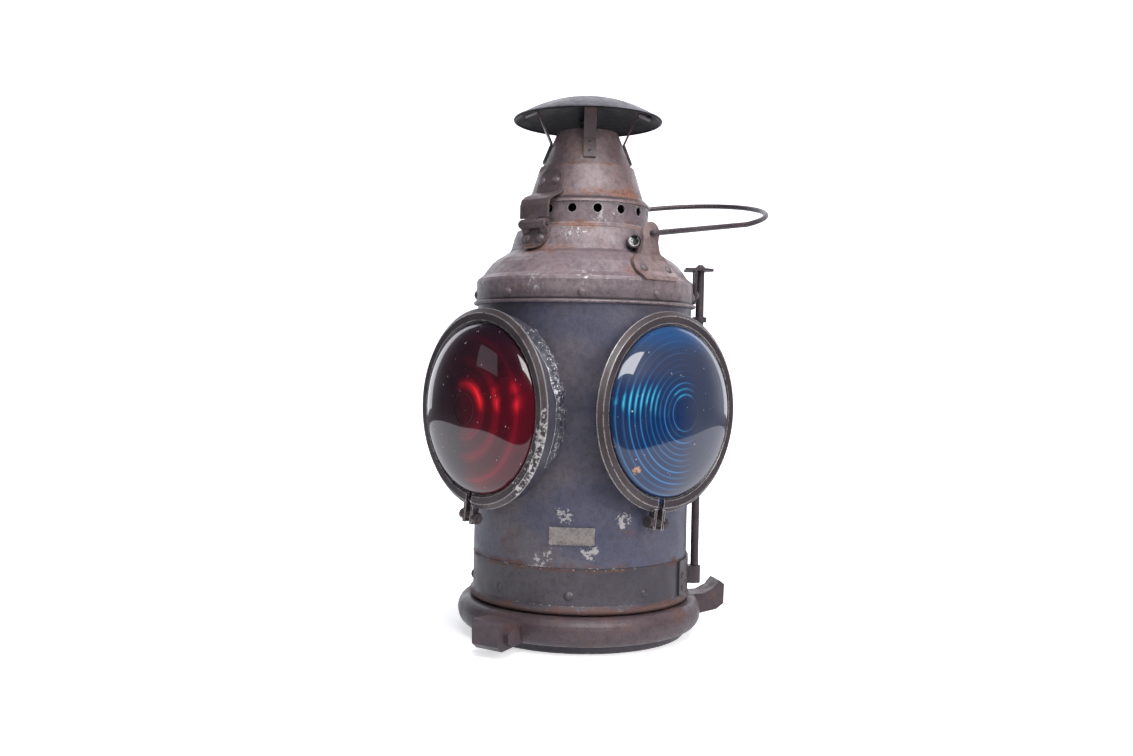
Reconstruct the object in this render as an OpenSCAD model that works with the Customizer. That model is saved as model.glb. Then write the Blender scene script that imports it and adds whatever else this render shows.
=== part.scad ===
// Railroad marker lamp: a four lens oil lamp that stands in a cast swivel ring.
// Origin on the lamp's axis at the underside of the base, +Z up, millimetres.
// The red lens faces -Y, and angles round the axis are counted from there towards +X.

/* [Drum and base] */
// Outside diameter of the drum
drum_d = 168; // [164:0.5:172]
// Sheet thickness of the drum and the lower band
drum_sheet = 1.2; // [0.8:0.1:1.6]
// Height of the base flange
flange_h = 6; // [5:0.5:7]
// Floor thickness of the base
floor_t = 4; // [3:0.5:4.5]
// Outside diameter of the neck that the swivel ring turns on
neck_d = 156; // [150:1:157]
// Height of the shelf above the neck
shelf_z = 28.2; // [28:0.1:30]
// Height of the seam between lower band and drum
seam_z = 62; // [58:1:66]
// Height of the drum's top edge
drum_top_z = 262; // [259:1:264]
// Roll radius of the bead at the foot of the lower band
bead_r = 2.7; // [2:0.1:3]
// Number of rivets round the skirt and the lower band
rivet_count = 9; // [6:1:12]

/* [Roof] */
// Height of the roof skirt's lower edge
skirt_z = 253.5; // [252:0.5:256]
// Sheet thickness of the roof
roof_sheet = 1; // [0.8:0.1:1.2]
// Height of the vent band's top edge
vent_top_z = 331; // [329:0.5:333]
// Outside radius of the vent band
vent_r = 48.8; // [48:0.2:49.4]
// Number of vent holes
vent_count = 16; // [12:1:18]
// Diameter of a vent hole
vent_hole_d = 6.6; // [4:0.2:7.4]

/* [Chimney top] */
// Turn of the hinged top against the lenses
top_turn = 5; // [0:1:8]
// Outside radius of the lower cone's upper end
cone_step_r = 37.4; // [37:0.1:38.4]
// Height of the step between the two cones
cone_step_z = 361; // [359:0.5:363]
// Sheet thickness of the cones and the rain cap
cone_sheet = 1.2; // [0.9:0.1:1.4]
// Height of the upper cone's mouth
cone_mouth_z = 390; // [387:1:392]
// Radius of the rain cap
cap_r = 58.3; // [54:0.5:62]
// Height of the rain cap's rim
cap_rim_z = 399.7; // [397:0.5:402]
// Rise of the rain cap's dome
cap_rise = 18; // [16:0.5:20]
// Width of a cap strap
strap_w = 9.6; // [8:0.2:11]
// Sheet thickness of the cap straps
strap_t = 1.6; // [1.2:0.1:2]

/* [Lenses] */
// Height of the lens centres
lens_z = 175.5; // [174.5:0.5:176.5]
// Diameter of a lens at its edge
lens_d = 135; // [133:0.5:136.5]
// Distance from the lamp's axis to the back of a lens
lens_seat_u = 89.2; // [88.5:0.1:91]
// Thickness of a lens at its edge
lens_edge_t = 3.7; // [3:0.1:4.4]
// How much further out the red lens stands than the others
red_out = 9; // [0:0.5:12]
// Rise of the lens's outer dome
lens_rise = 16; // [12:0.5:22]
// Number of prism steps on the back of a lens
prism_count = 7; // [4:1:9]
// Width of a lens ring outside the lens's edge
ring_rim = 6; // [5.25:0.25:6.5]
// Sheet thickness of a lens cup
cup_sheet = 1.5; // [1.2:0.1:1.6]
// Turn of the clamp ears from the bottom of the ring
clamp_turn = 8; // [0:1:14]
// Diameter of a clamp bolt
clamp_bolt_d = 4; // [3:0.2:4.6]

/* [Bail and rod] */
// Diameter of the bail wire
bail_wire = 4.2; // [3:0.2:4.6]
// Reach of the bail from its pivot
bail_reach = 186; // [160:2:190]
// Angle of the resting bail above the horizontal
bail_tilt = 13.8; // [8:1:16]
// Height of the bail's pivot above the rivets of its ears
bail_rise = 26.2; // [24:0.1:29]
// Set of the bail's axis in front of the lamp's axis
bail_set = 3; // [0:0.5:4]
// Twist of the bent bail about its own length
bail_twist = 7.4; // [0:0.2:8]
// Diameter of the lock rod
rod_d = 6.4; // [5:0.2:6.8]
// Distance from the lamp's axis to the lock rod
rod_u = 90.8; // [90.7:0.1:91.6]
// Height of the lock rod's foot
rod_foot_z = 39; // [37:0.5:44]
// Lift of the lock rod before its collar meets the roll of the skirt
rod_lift = 6; // [3:0.5:8]

/* [Swivel ring] */
// Outside diameter of the swivel ring
swivel_d = 191.2; // [186:0.4:194]
// Reach of the bolted lug beyond the ring's outside
lug_out = 25.4; // [23:0.5:30]
// Width of the bolted lug
lug_w = 23; // [19:1:26]
// Diameter of the cross bolt
ring_bolt_d = 6; // [5:0.2:8]

/* [Fount and burner] */
// Diameter of the oil fount
fount_d = 116; // [104:2:126]
// Height of the oil fount's deck
fount_h = 88; // [80:1:92]
// Width of the wick
wick_w = 12; // [9:0.5:13]
// Thickness of the wick
wick_t = 1.6; // [1.2:0.1:2]
// Diameter of the burner's glass chimney
glass_d = 34; // [32:0.5:36]
// Height of the burner's glass chimney
glass_h = 88; // [70:2:96]

/* [Hidden] */

$fn = 64;

fit = 0.15;
seat_gap = 0.3;
rivet_fit = 0.12;
rivet_shank_r = 1.9;
rivet_head_r = 3.4;
rivet_head_h = 1.7;
cut = 1;

drum_r = drum_d / 2;
drum_in_r = drum_r - drum_sheet;
collar_r = drum_in_r - fit;
collar_t = 2.6;
collar_top_z = seam_z - 10;
base_r = drum_r - 0.5;
base_edge = 0.8;
neck_r = neck_d / 2;
neck_wall = 3;
band_foot_z = shelf_z + 0.1;
band_rivet_z = shelf_z + 13.8;
skirt_rivet_z = skirt_z + 7.7;
rivet_phase = 45.5;
band_rivet_phase = 41.5;

roof_r = drum_r + 0.2 + roof_sheet + fit;
roof_path = [[roof_r, skirt_z + 1], [roof_r, skirt_z + 17.5], [drum_r + 0.6, skirt_z + 19.7],
    [drum_r - 3.6, skirt_z + 22.9], [drum_r - 6.5, skirt_z + 27], [drum_r - 10.5, skirt_z + 32.2],
    [drum_r - 14.4, skirt_z + 35.5], [drum_r - 19.8, skirt_z + 38.8], [drum_r - 24.2, skirt_z + 41.8],
    [drum_r - 25.8, skirt_z + 45], [drum_r - 27.3, skirt_z + 51.5], [vent_r + 5.4, vent_top_z - 19.6],
    [vent_r + 1.4, vent_top_z - 17.6], [vent_r, vent_top_z - 15.6], [vent_r, vent_top_z]];
skirt_roll = 1.45;
skirt_roll_r = drum_r + 0.35 + skirt_roll;
vent_z = vent_top_z - 4.8;
vent_phase = 11.8;

lens_turns = [0, 90, 180, 270];
lens_outs = [red_out, 0, 0, 0];
lens_r = lens_d / 2;
ring_r = lens_r + ring_rim;
cup_wall_r = lens_r + 2.2;
cup_front_u = lens_seat_u + 3.5;
shelf_u = lens_seat_u - 2.2;
shelf_t = 1;
cup_root_u = 60;
cup_slope = 1.2326;
lens_sight_r = lens_r - 4.3;
lens_front_u = lens_seat_u + lens_edge_t;
dome_r = lens_sight_r - 0.35;
dome_power = 2.4;
prism_in_r = 14;
prism_out_r = lens_sight_r - 6;
prism_thick = 10;
prism_thin = 5;
ear_gap = 6;
ear_t = 2.5;
ear_drop = 12.5;
ear_bolt_r = ring_r + 7.5;
ear_u = lens_seat_u - 0.4;
ear_depth = 6.4;
clamp_head_r = 3.9;
clamp_head_h = 3.8;

ear_plate_x = drum_r - 12.2;
ear_plate_t = 2.6;
ear_foot_half = 8.6;
ear_foot_r = 11;
ear_rivet_turn = 8.9;
ear_turn = asin(bail_set / (drum_r - 3.1));
ear_foot_z = skirt_z + 27.2;
ear_top_r = 8.5;
bail_z = ear_foot_z + bail_rise;
bail_x = ear_plate_x + ear_plate_t + 0.5 + bail_wire / 2;
bail_straight = bail_reach - bail_x;
bail_head_r = bail_wire / 2 + 1.3;
peep_turn = 84;
peep_z = skirt_z + 46.2;
peep_r = 5.2;
peep_wall = 0.9;
peep_out = 8.5;
peep_root_r = roof_path[10][0];

rod_turn = 135.5;
rod_plate_z = skirt_z + 30;
rod_plate_t = 2;
rod_leg_u = roof_r + 0.3;
rod_leg_w = 6.6;
rod_leg_in = rod_d / 2 + 2.3;
rod_plate_in_u = rod_leg_u - 7;
rod_plate_tip_u = rod_u + 10.2;
rod_collar_h = 4;
rod_collar_z = skirt_z - rod_lift - rod_collar_h;
rod_clear = 0.3;
knuckle_t = 1.4;
knuckle_h = 13.5;
knuckle_z = rod_foot_z - 1;
foot_plate_t = 1.5;
foot_plate_half = 26;
foot_plate_low = shelf_z + 6.8;
foot_plate_high = seam_z - 1;
foot_rivet_turn = 20.5;

pin_u = vent_r + 9.4;
pin_z = vent_top_z - 17;
pin_d = 3.5;
pin_fit = 0.12;
curl_r = 3.8;
leaf_t = 2;
leaf_half = 11.8;
box_half = 14.4;
curl_half = 13;
knuckle_half = 5.4;
box_u = pin_u + 1.2;
cone_foot_r = vent_r - 4.3;
cone_foot_z = vent_top_z + 7;
cone_k = (cone_foot_r - cone_step_r) / (cone_step_z - cone_foot_z);
cone_tilt = atan(cone_k);
cone_rim_z = vent_top_z + seat_gap;
cone_path = [[vent_r + 1.4, cone_rim_z], [vent_r + 1, cone_rim_z + 1.6],
    [cone_foot_r + 1.2, cone_foot_z - 1.2],
    [cone_foot_r, cone_foot_z], [cone_step_r, cone_step_z], [cone_step_r - 0.6, cone_step_z + 1.2]];
upper_r = cone_step_r - 0.6 - cone_sheet - fit;
mouth_r = 24;
upper_k = (upper_r - mouth_r) / (cone_mouth_z - cone_step_z - 0.5);
upper_tilt = atan(upper_k);
upper_path = [[upper_r, cone_step_z - 7], [upper_r, cone_step_z + 0.5], [mouth_r, cone_mouth_z]];
cap_ball_r = (cap_r * cap_r + cap_rise * cap_rise) / (2 * cap_rise);
cap_ball_z = cap_rim_z + cap_rise - cap_ball_r;
cap_sheet = 1;
strap_turns = [45, 135, 225, 315];
strap_fit = 0.1;
strap_foot_z = cone_step_z + 5;
strap_bend_z = cone_step_z + 20.5;
strap_holes = [cone_step_z + 10.1, cone_step_z + 17.5];
strap_rivet_r = 1;
strap_under_in = 38.5;
strap_under_out = 49;
upper_rivet_z = vent_top_z + 17.3;
lower_rivet_z = skirt_z + 49.6;
tab_half = 8;
tab_u = vent_r + 2.4;

swivel_in_r = neck_r + 1;
swivel_r = swivel_d / 2;
swivel_low_z = flange_h + seat_gap;
swivel_high_z = shelf_z - 0.7;
swivel_mid_z = (swivel_low_z + swivel_high_z) / 2;
swivel_half_h = (swivel_high_z - swivel_low_z) / 2;
swivel_round = 7.6;
lug_reach = swivel_r + lug_out;
lug_turn = 13.8;
arm_turn = 151.8;
arm_reach = lug_reach - 2;
arm_w = 20;
lug_low_z = flange_h - 0.4;
lug_high_z = swivel_high_z - 0.6;
ring_bolt_u = lug_reach - 12;
ring_bolt_z = lug_low_z + 9.6;
ring_head_h = 4;
ring_nut_h = 5;

fount_r = fount_d / 2;
fount_low_z = floor_t + seat_gap;
fount_sheet = 0.9;
fount_neck_r = 15;
fount_neck_h = 8;
burner_z = fount_h + fount_neck_h;
filler_x = fount_r - 20;
filler_r = 9;
filler_h = 7;
burner_flange_r = 17.5;
gallery_z = burner_z + 38;
gallery_r = glass_d / 2 + 1.4;
gallery_t = 2;
wick_top_z = gallery_z + 25;
wick_low_z = fount_low_z + 18;
wick_tube_t = 0.9;
wick_fit = 0.3;
star_r = 4;
spindle_d = 2.6;
spindle_y = wick_t / 2 + 0.2 + star_r;
spindle_z = burner_z + 19;
spindle_knob_x = 33;
spring_turns = [45, 165, 285];

// Small helpers for sheet metal outlines
function unit(v) = v / norm(v);
function side_of(v) = [-v[1], v[0]];
function run_normal(p, i) = side_of(unit(p[i + 1] - p[i]));
function bend_shift(p, i) =
    i == 0 ? run_normal(p, 0) :
    i == len(p) - 1 ? run_normal(p, i - 1) :
    let (a = run_normal(p, i - 1), b = run_normal(p, i)) (a + b) / (1 + a * b);
function shifted(p, t) = [for (i = [0:len(p) - 1]) p[i] + t * bend_shift(p, i)];
function turned_round(p) = [for (i = [len(p) - 1:-1:0]) p[i]];
function sheet(p, t) = concat(p, turned_round(shifted(p, t)));
function arc_points(c, rx, ry, from, to, n) =
    [for (i = [0:n]) let (a = from + (to - from) * i / n) [c[0] + rx * cos(a), c[1] + ry * sin(a)]];
function lens_face(r) = lens_front_u + lens_rise * sqrt(max(0, 1 - pow(r / dome_r, dome_power)));
function cup_r(u) = cup_wall_r - cup_slope * (shelf_u - u);
function cone_r(z) = cone_foot_r - cone_k * (z - cone_foot_z);
function upper_cone_r(z) = upper_r - upper_k * (z - cone_step_z - 0.5);
function under_cap(r) = cap_ball_z + sqrt(pow(cap_ball_r - cap_sheet, 2) - r * r);

// Turns what is built on the -Y side round the lamp's axis
module around(turn) {
    rotate([0, 0, turn]) children();
}

// Puts a shape with its axis pointing outwards from the lamp, towards -Y
module outwards(u, z, x = 0, tilt = 0) {
    translate([x, -u, z]) rotate([90 - tilt, 0, 0]) children();
}

// Flat outline of distance from the axis against height, given a width across it
module slab(width, x = 0) {
    translate([x - width / 2, 0, 0]) rotate([90, 0, 0]) rotate([0, -90, 0]) mirror([0, 0, 1])
        linear_extrude(width) children();
}

module rivet(grip, r = rivet_shank_r, head_r = rivet_head_r, head_h = rivet_head_h) {
    ball = (head_r * head_r + head_h * head_h) / (2 * head_h);
    rotate_extrude($fn = 24)
        polygon(concat([[0, -grip - head_h], [r + 0.9, -grip - head_h], [r + 0.9, -grip], [r, -grip], [r, 0],
            [head_r, 0]], [for (i = [1:5]) let (a = asin(head_r / ball) * (1 - i / 5))
            [ball * sin(a), ball * cos(a) - ball + head_h]]));
}

module rivet_hole(r = rivet_shank_r) {
    translate([0, 0, -12]) cylinder(h = 24, r = r + rivet_fit, $fn = 24);
}

module hex_head(across, h) {
    cylinder(h = h, d = across / cos(30), $fn = 6);
}

// The rivets that hold the lower band on the base, left out where the rod's foot plate covers them
module at_band_rivets() {
    for (i = [0:rivet_count - 1]) {
        turn = band_rivet_phase + i * 360 / rivet_count;
        if (abs(turn - rod_turn) > foot_plate_half + 4) around(turn) outwards(drum_r + 0.05, band_rivet_z)
            children();
    }
}

// The rivets that hold the roof skirt on the drum
module at_skirt_rivets() {
    for (i = [0:rivet_count - 1]) around(rivet_phase + i * 360 / rivet_count)
        outwards(roof_r + 0.05, skirt_rivet_z) children();
}

// The rivets of the rod's bracket, one through each leg
module at_rod_bracket_rivets() {
    around(rod_turn)
        for (s = [-1, 1]) outwards(rod_leg_u + rod_plate_t, skirt_z + 10.5,
            s * (rod_leg_in + rod_leg_w / 2)) children();
}

// The rivets of the rod's foot plate
module at_foot_rivets() {
    for (s = [-1, 1], z = [foot_plate_low + 5, foot_plate_high - 12])
        around(rod_turn + s * foot_rivet_turn) outwards(drum_r + foot_plate_t + 0.15, z) children();
}

// The rivets of the two bail ears
module at_ear_rivets(turn) {
    shift = turn < 180 ? -ear_turn : ear_turn;
    around(turn + shift) for (s = [-1, 1]) around(s * ear_rivet_turn)
        outwards(drum_r - 3.1, ear_foot_z, 0, 36.5) children();
}

module at_lower_leaf_rivets() {
    around(top_turn) for (s = [-1, 1])
        around(s * 6.8) outwards(drum_r - 26.75 + leaf_t + 0.3, lower_rivet_z, 0, 13) children();
}

module at_upper_leaf_rivets() {
    around(top_turn) for (s = [-1, 1])
        around(s * 9.2) outwards(cone_r(upper_rivet_z) + leaf_t / cos(cone_tilt) + 0.25, upper_rivet_z, 0,
            cone_tilt) children();
}

module at_tab_rivets() {
    around(top_turn + 180) for (s = [-1, 1])
        around(s * 6) outwards(cone_r(upper_rivet_z) + leaf_t / cos(cone_tilt) + 0.25, upper_rivet_z, 0,
            cone_tilt) children();
}

module at_strap_rivets() {
    around(top_turn) for (turn = strap_turns, z = strap_holes)
        around(turn) outwards(upper_cone_r(z) + (strap_t + strap_fit) / cos(upper_tilt), z, 0, upper_tilt)
            children();
}

// A piece of sheet that lies on the roof or a cone, cut to an outline seen from outside
module formed_sheet(path, t, clearance, half_turn = 30) {
    lifted = shifted(path, -clearance);
    intersection() {
        rotate([0, 0, -90 - half_turn]) rotate_extrude(angle = 2 * half_turn, $fn = 128)
            polygon(sheet(lifted, -t));
        rotate([90, 0, 0]) linear_extrude(200) children();
    }
}

module base_pan() {
    color("#4a3f45") difference() {
        rotate_extrude($fn = 128) polygon([[0, 0], [base_r - base_edge, 0], [base_r, base_edge],
            [base_r, flange_h - base_edge], [base_r - base_edge, flange_h], [neck_r, flange_h],
            [neck_r, shelf_z], [collar_r, shelf_z], [collar_r, collar_top_z],
                [collar_r - collar_t, collar_top_z],
            [collar_r - collar_t, shelf_z + 4], [neck_r - neck_wall, shelf_z - 1],
                [neck_r - neck_wall, floor_t],
            [0, floor_t]]);
        at_band_rivets() rivet_hole();
        at_foot_rivets() rivet_hole();
    }
}

module lower_band() {
    color("#4c464e") difference() {
        rotate_extrude($fn = 128) polygon(concat([[drum_in_r, band_foot_z]],
            arc_points([drum_r - 0.2, band_foot_z + bead_r], bead_r, bead_r, -90, 60, 6),
            [[drum_r, band_foot_z + 2 * bead_r + 1], [drum_r, seam_z - 1.2], [drum_r + 0.4, seam_z - 0.8],
            [drum_r + 0.4, seam_z], [drum_in_r, seam_z]]));
        at_band_rivets() rivet_hole();
        at_foot_rivets() rivet_hole();
    }
}

module band_rivets() {
    color("#5a4f50") at_band_rivets() rivet(drum_sheet + collar_t + fit + 0.3);
}

module drum() {
    sleeve_r = collar_r - drum_sheet;
    color("#4a4a57") difference() {
        rotate_extrude($fn = 128) polygon([[collar_r, collar_top_z + seat_gap], [collar_r, seam_z + 0.2],
            [drum_r, seam_z + 0.2], [drum_r, drum_top_z], [drum_in_r, drum_top_z], [drum_in_r, seam_z + 1.8],
            [sleeve_r, seam_z + 0.6], [sleeve_r, collar_top_z + seat_gap]]);
        for (turn = lens_turns) around(turn) outwards(cup_root_u, lens_z)
            cylinder(h = shelf_u - cup_root_u, r1 = cup_r(cup_root_u) - 2.4, r2 = cup_r(shelf_u) - 2.4,
                $fn = 96);
        at_skirt_rivets() rivet_hole();
        at_rod_bracket_rivets() rivet_hole();
    }
}

module nameplate() {
    plate_half = 11.2;
    plate_low = seam_z + 17;
    plate_h = 12.7;
    plate_t = 0.8;
    around(42.7) color("#8d8580") rotate([0, 0, -90 - plate_half]) translate([0, 0, plate_low])
        rotate_extrude(angle = 2 * plate_half, $fn = 128)
            translate([drum_r + 0.05, 0]) square([plate_t, plate_h]);
}

module roof() {
    color("#5d4d50") difference() {
        union() {
            rotate_extrude($fn = 128) polygon(sheet(roof_path, roof_sheet));
            rotate_extrude($fn = 128) translate([skirt_roll_r, skirt_z + skirt_roll])
                circle(skirt_roll, $fn = 24);
        }
        for (i = [0:vent_count - 1]) around(vent_phase + i * 360 / vent_count)
            outwards(vent_r - 4, vent_z) cylinder(h = 8, d = vent_hole_d, $fn = 32);
        at_peep(-12) cylinder(h = 20, r = peep_r - peep_wall, $fn = 48);
        at_skirt_rivets() rivet_hole();
        at_rod_bracket_rivets() rivet_hole();
        for (turn = [90, 270]) at_ear_rivets(turn) rivet_hole();
        at_lower_leaf_rivets() rivet_hole();
    }
}

module skirt_rivets() {
    color("#6a5c5e") at_skirt_rivets() rivet(roof_r - drum_in_r + 0.3);
}

module lens_cup(i) {
    seat_u = shelf_u + lens_outs[i];
    bore_r = cup_wall_r - cup_sheet;
    cone_in = 1.6 * cup_sheet;
    color("#3f3d48") around(lens_turns[i]) difference() {
        union() {
            outwards(cup_root_u, lens_z)
                cylinder(h = shelf_u - cup_root_u, r1 = cup_r(cup_root_u), r2 = cup_wall_r, $fn = 96);
            outwards(shelf_u - 0.01, lens_z) cylinder(h = cup_front_u + lens_outs[i] - shelf_u,
                r = cup_wall_r, $fn = 96);
        }
        outwards(cup_root_u - cut, lens_z) cylinder(h = shelf_u - cup_root_u + cut,
            r1 = cup_r(cup_root_u - cut) - cone_in,
            r2 = cup_wall_r - cone_in, $fn = 96);
        if (lens_outs[i] > 0) outwards(shelf_u - cut, lens_z)
            cylinder(h = lens_outs[i] + cut, r = bore_r - 1, $fn = 96);
        outwards(seat_u - cut, lens_z) cylinder(h = 3 * cut, r = lens_sight_r - 0.8, $fn = 96);
        outwards(seat_u + shelf_t, lens_z) cylinder(h = 20, r = bore_r, $fn = 96);
        cylinder(h = 400, r = drum_r + 0.05, $fn = 128);
    }
}

module lens_ring(i) {
    in_r = cup_wall_r + 0.2;
    back_u = lens_seat_u + 2;
    front_u = lens_front_u + 0.1;
    color("#4e4744") around(lens_turns[i]) outwards(lens_outs[i], lens_z) rotate([0, 0, -clamp_turn]) difference() {
        union() {
            rotate_extrude($fn = 96) polygon([[in_r, back_u], [ring_r - 0.8, back_u], [ring_r, back_u + 0.8],
                [ring_r, back_u + 1.4], [ring_r - 2.4, front_u + 1.6], [ring_r - 3.6, front_u + 2.6],
                [lens_sight_r + 1.4, front_u + 2.5], [lens_sight_r, front_u + 1.3], [lens_sight_r, front_u],
                [in_r, front_u]]);
            for (s = [-1, 1]) translate([s * (ear_gap + ear_t) / 2 - ear_t / 2, -ring_r - ear_drop, ear_u])
                cube([ear_t, ear_drop + 2, ear_depth]);
        }
        translate([-ear_gap / 2, -ring_r - ear_drop - cut, lens_seat_u - 6])
            cube([ear_gap, ear_drop + 14, 16]);
        translate([-20, -ear_bolt_r, ear_u + ear_depth / 2]) rotate([0, 90, 0])
            cylinder(h = 40, d = clamp_bolt_d + 0.3, $fn = 32);
    }
}

module lens_glass(i, tint) {
    step = (prism_out_r - prism_in_r) / prism_count;
    front = [for (k = [0:20]) let (r = dome_r * cos(90 * k / 20)) [r, lens_face(r)]];
    eye = [for (k = [0:4]) let (r = prism_in_r * k / 4) [r, lens_face(r) - prism_thick]];
    teeth = [for (n = [0:prism_count - 1], k = [0, 1]) let (r = prism_in_r + (n + k) * step)
        [r, lens_face(r) - (k == 0 ? prism_thick : prism_thin)]];
    color(tint, 0.8) around(lens_turns[i]) outwards(lens_outs[i], lens_z) rotate_extrude($fn = 96)
        polygon(concat(eye, teeth, [[prism_out_r + 0.6, lens_seat_u], [lens_r, lens_seat_u],
            [lens_r, lens_front_u]], front));
}

module lens_gaskets() {
    color("#2b2a2c") for (i = [0:3]) around(lens_turns[i]) outwards(lens_outs[i], lens_z)
        rotate_extrude($fn = 96)
        translate([lens_sight_r + 0.4, shelf_u + shelf_t + 0.05])
            square([lens_r - lens_sight_r - 0.6, lens_seat_u - shelf_u - shelf_t - 0.1]);
}

module at_clamps() {
    for (i = [0:3]) around(lens_turns[i]) outwards(lens_outs[i], lens_z) rotate([0, 0, -clamp_turn])
        translate([0, -ear_bolt_r, ear_u + ear_depth / 2]) rotate([0, 90, 0]) children();
}

module clamp_bolts() {
    half = ear_gap / 2 + ear_t;
    color("#4a4040") at_clamps() {
        translate([0, 0, -half - clamp_head_h - 0.05]) cylinder(h = clamp_head_h, r = clamp_head_r, $fn = 32);
        translate([0, 0, -half - 0.1]) cylinder(h = 2 * half + clamp_head_h + 1.4, d = clamp_bolt_d,
            $fn = 32);
    }
}

module clamp_nuts() {
    half = ear_gap / 2 + ear_t;
    color("#4a4040") at_clamps() translate([0, 0, half + 0.05]) difference() {
        hex_head(2 * clamp_head_r, clamp_head_h);
        translate([0, 0, -cut]) cylinder(h = clamp_head_h + 2 * cut, d = clamp_bolt_d + 0.1, $fn = 32);
    }
}

// Outline of a bail ear, seen from outside: two lobes at the foot and a round eye at the top
module ear_outline() {
    for (s = [-1, 1]) translate([s * ear_foot_half, ear_foot_z - 0.5]) circle(ear_foot_r, $fn = 64);
    translate([-ear_foot_half, ear_foot_z - ear_foot_r - 0.5]) square([2 * ear_foot_half, 2 * ear_foot_r]);
    flank = [[ear_foot_half + 10.8, ear_foot_z + 1.8], [ear_foot_half + 9, ear_foot_z + 4.8],
        [ear_foot_half + 5, ear_foot_z + 7.8], [ear_foot_half + 1.8, ear_foot_z + 11],
            [ear_top_r, ear_foot_z + 15.5],
        [ear_top_r - 1, ear_foot_z + 20], [ear_top_r - 0.6, bail_z - 3]];
    polygon(concat(flank, turned_round([for (p = flank) [-p[0], p[1]]])));
    translate([0, bail_z]) circle(ear_top_r, $fn = 48);
}

module bail_ear(turn) {
    shift = turn < 180 ? -bail_set : bail_set;
    ear_path = concat([for (i = [1:5]) roof_path[i]], [[ear_plate_x - 0.1, ear_foot_z + 9.3],
        [ear_plate_x - 0.1, bail_z + ear_top_r + 1]]);
    color("#5b484a") difference() {
        around(turn) formed_sheet(ear_path, ear_plate_t, 0.1, 26) translate([shift, 0]) ear_outline();
        around(turn) outwards(ear_plate_x - 5, bail_z, shift) cylinder(h = 15, d = bail_wire + 0.2, $fn = 48);
        at_ear_rivets(turn) rivet_hole();
    }
}

module bail() {
    head_t = 1.6;
    head_gap = 0.7;
    stub = bail_x - ear_plate_x + head_gap + head_t;
    drop = bail_x * sin(bail_twist);
    draw_in = bail_x * (1 - cos(bail_twist));
    leg = norm([draw_in, bail_straight, drop]);
    color("#514548") translate([0, -bail_set, bail_z]) {
        for (s = [-1, 1]) translate([s * (bail_x - stub), 0, 0]) rotate([0, s * 90, 0]) {
            cylinder(h = stub, d = bail_wire, $fn = 32);
            cylinder(h = head_t, r = bail_head_r, $fn = 32);
        }
        rotate([bail_tilt, 0, 0]) {
            for (s = [-1, 1]) translate([s * bail_x, 0, 0])
                rotate([-s * atan(drop / bail_straight), 0, s * atan(draw_in / bail_straight)]) {
                    sphere(d = bail_wire + 0.12, $fn = 32);
                    rotate([-90, 0, 0]) cylinder(h = leg, d = bail_wire, $fn = 32);
                    translate([0, leg, 0]) sphere(d = bail_wire + 0.12, $fn = 32);
                }
            translate([0, bail_straight, 0]) rotate([0, bail_twist, 0]) rotate_extrude(angle = 180, $fn = 96)
                translate([bail_x, 0]) circle(d = bail_wire, $fn = 32);
        }
    }
}

// Puts a shape on the axis of the peep tube, which leans to the front and a little upwards
module at_peep(along) {
    around(peep_turn) outwards(peep_root_r, peep_z) rotate([-12, -24, 0]) translate([0, 0, along]) children();
}

module peep_tube() {
    color("#3a3230") difference() {
        at_peep(-4) cylinder(h = peep_out + 4, r = peep_r, $fn = 48);
        at_peep(-6) cylinder(h = peep_out + 12, r = peep_r - peep_wall, $fn = 48);
        rotate_extrude($fn = 128) polygon(concat([[0, skirt_z + 30]],
            shifted([for (i = [6:13]) roof_path[i]], -0.06),
            [[0, vent_top_z]]));
    }
}

module peep_glass() {
    color("#a8b4b8", 0.6) at_peep(4.6) cylinder(h = 1.6, r = peep_r - peep_wall - 0.1, $fn = 48);
}

module peep_ring() {
    wire = 1;
    color("#d8d2c4") at_peep(peep_out - 0.9) rotate([0, 0, 130])
        rotate_extrude(angle = 280, $fn = 48) translate([peep_r - peep_wall - 0.05 - wire / 2, 0])
            circle(d = wire, $fn = 16);
}

module rod_bracket() {
    leg_low = skirt_z + 4.5;
    leg_mid = rod_leg_in + rod_leg_w / 2;
    plate_half = rod_leg_in + rod_leg_w;
    color("#2e272b") difference() {
        around(rod_turn) union() {
            translate([0, 0, rod_plate_z]) linear_extrude(rod_plate_t)
                polygon([[-plate_half, -rod_plate_in_u], [-plate_half, -rod_u - 2], [-3, -rod_plate_tip_u],
                    [3, -rod_plate_tip_u], [plate_half, -rod_u - 2], [plate_half, -rod_plate_in_u]]);
            for (s = [-1, 1]) translate([s * leg_mid - rod_leg_w / 2, -rod_leg_u - rod_plate_t, leg_low])
                cube([rod_leg_w, rod_plate_t, rod_plate_z - leg_low + 1]);
        }
        around(rod_turn) translate([0, -rod_u, rod_plate_z - cut])
            cylinder(h = 2 * rod_plate_t + cut, d = rod_d + 2 * rod_clear, $fn = 48);
        at_rod_bracket_rivets() rivet_hole();
    }
}

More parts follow.
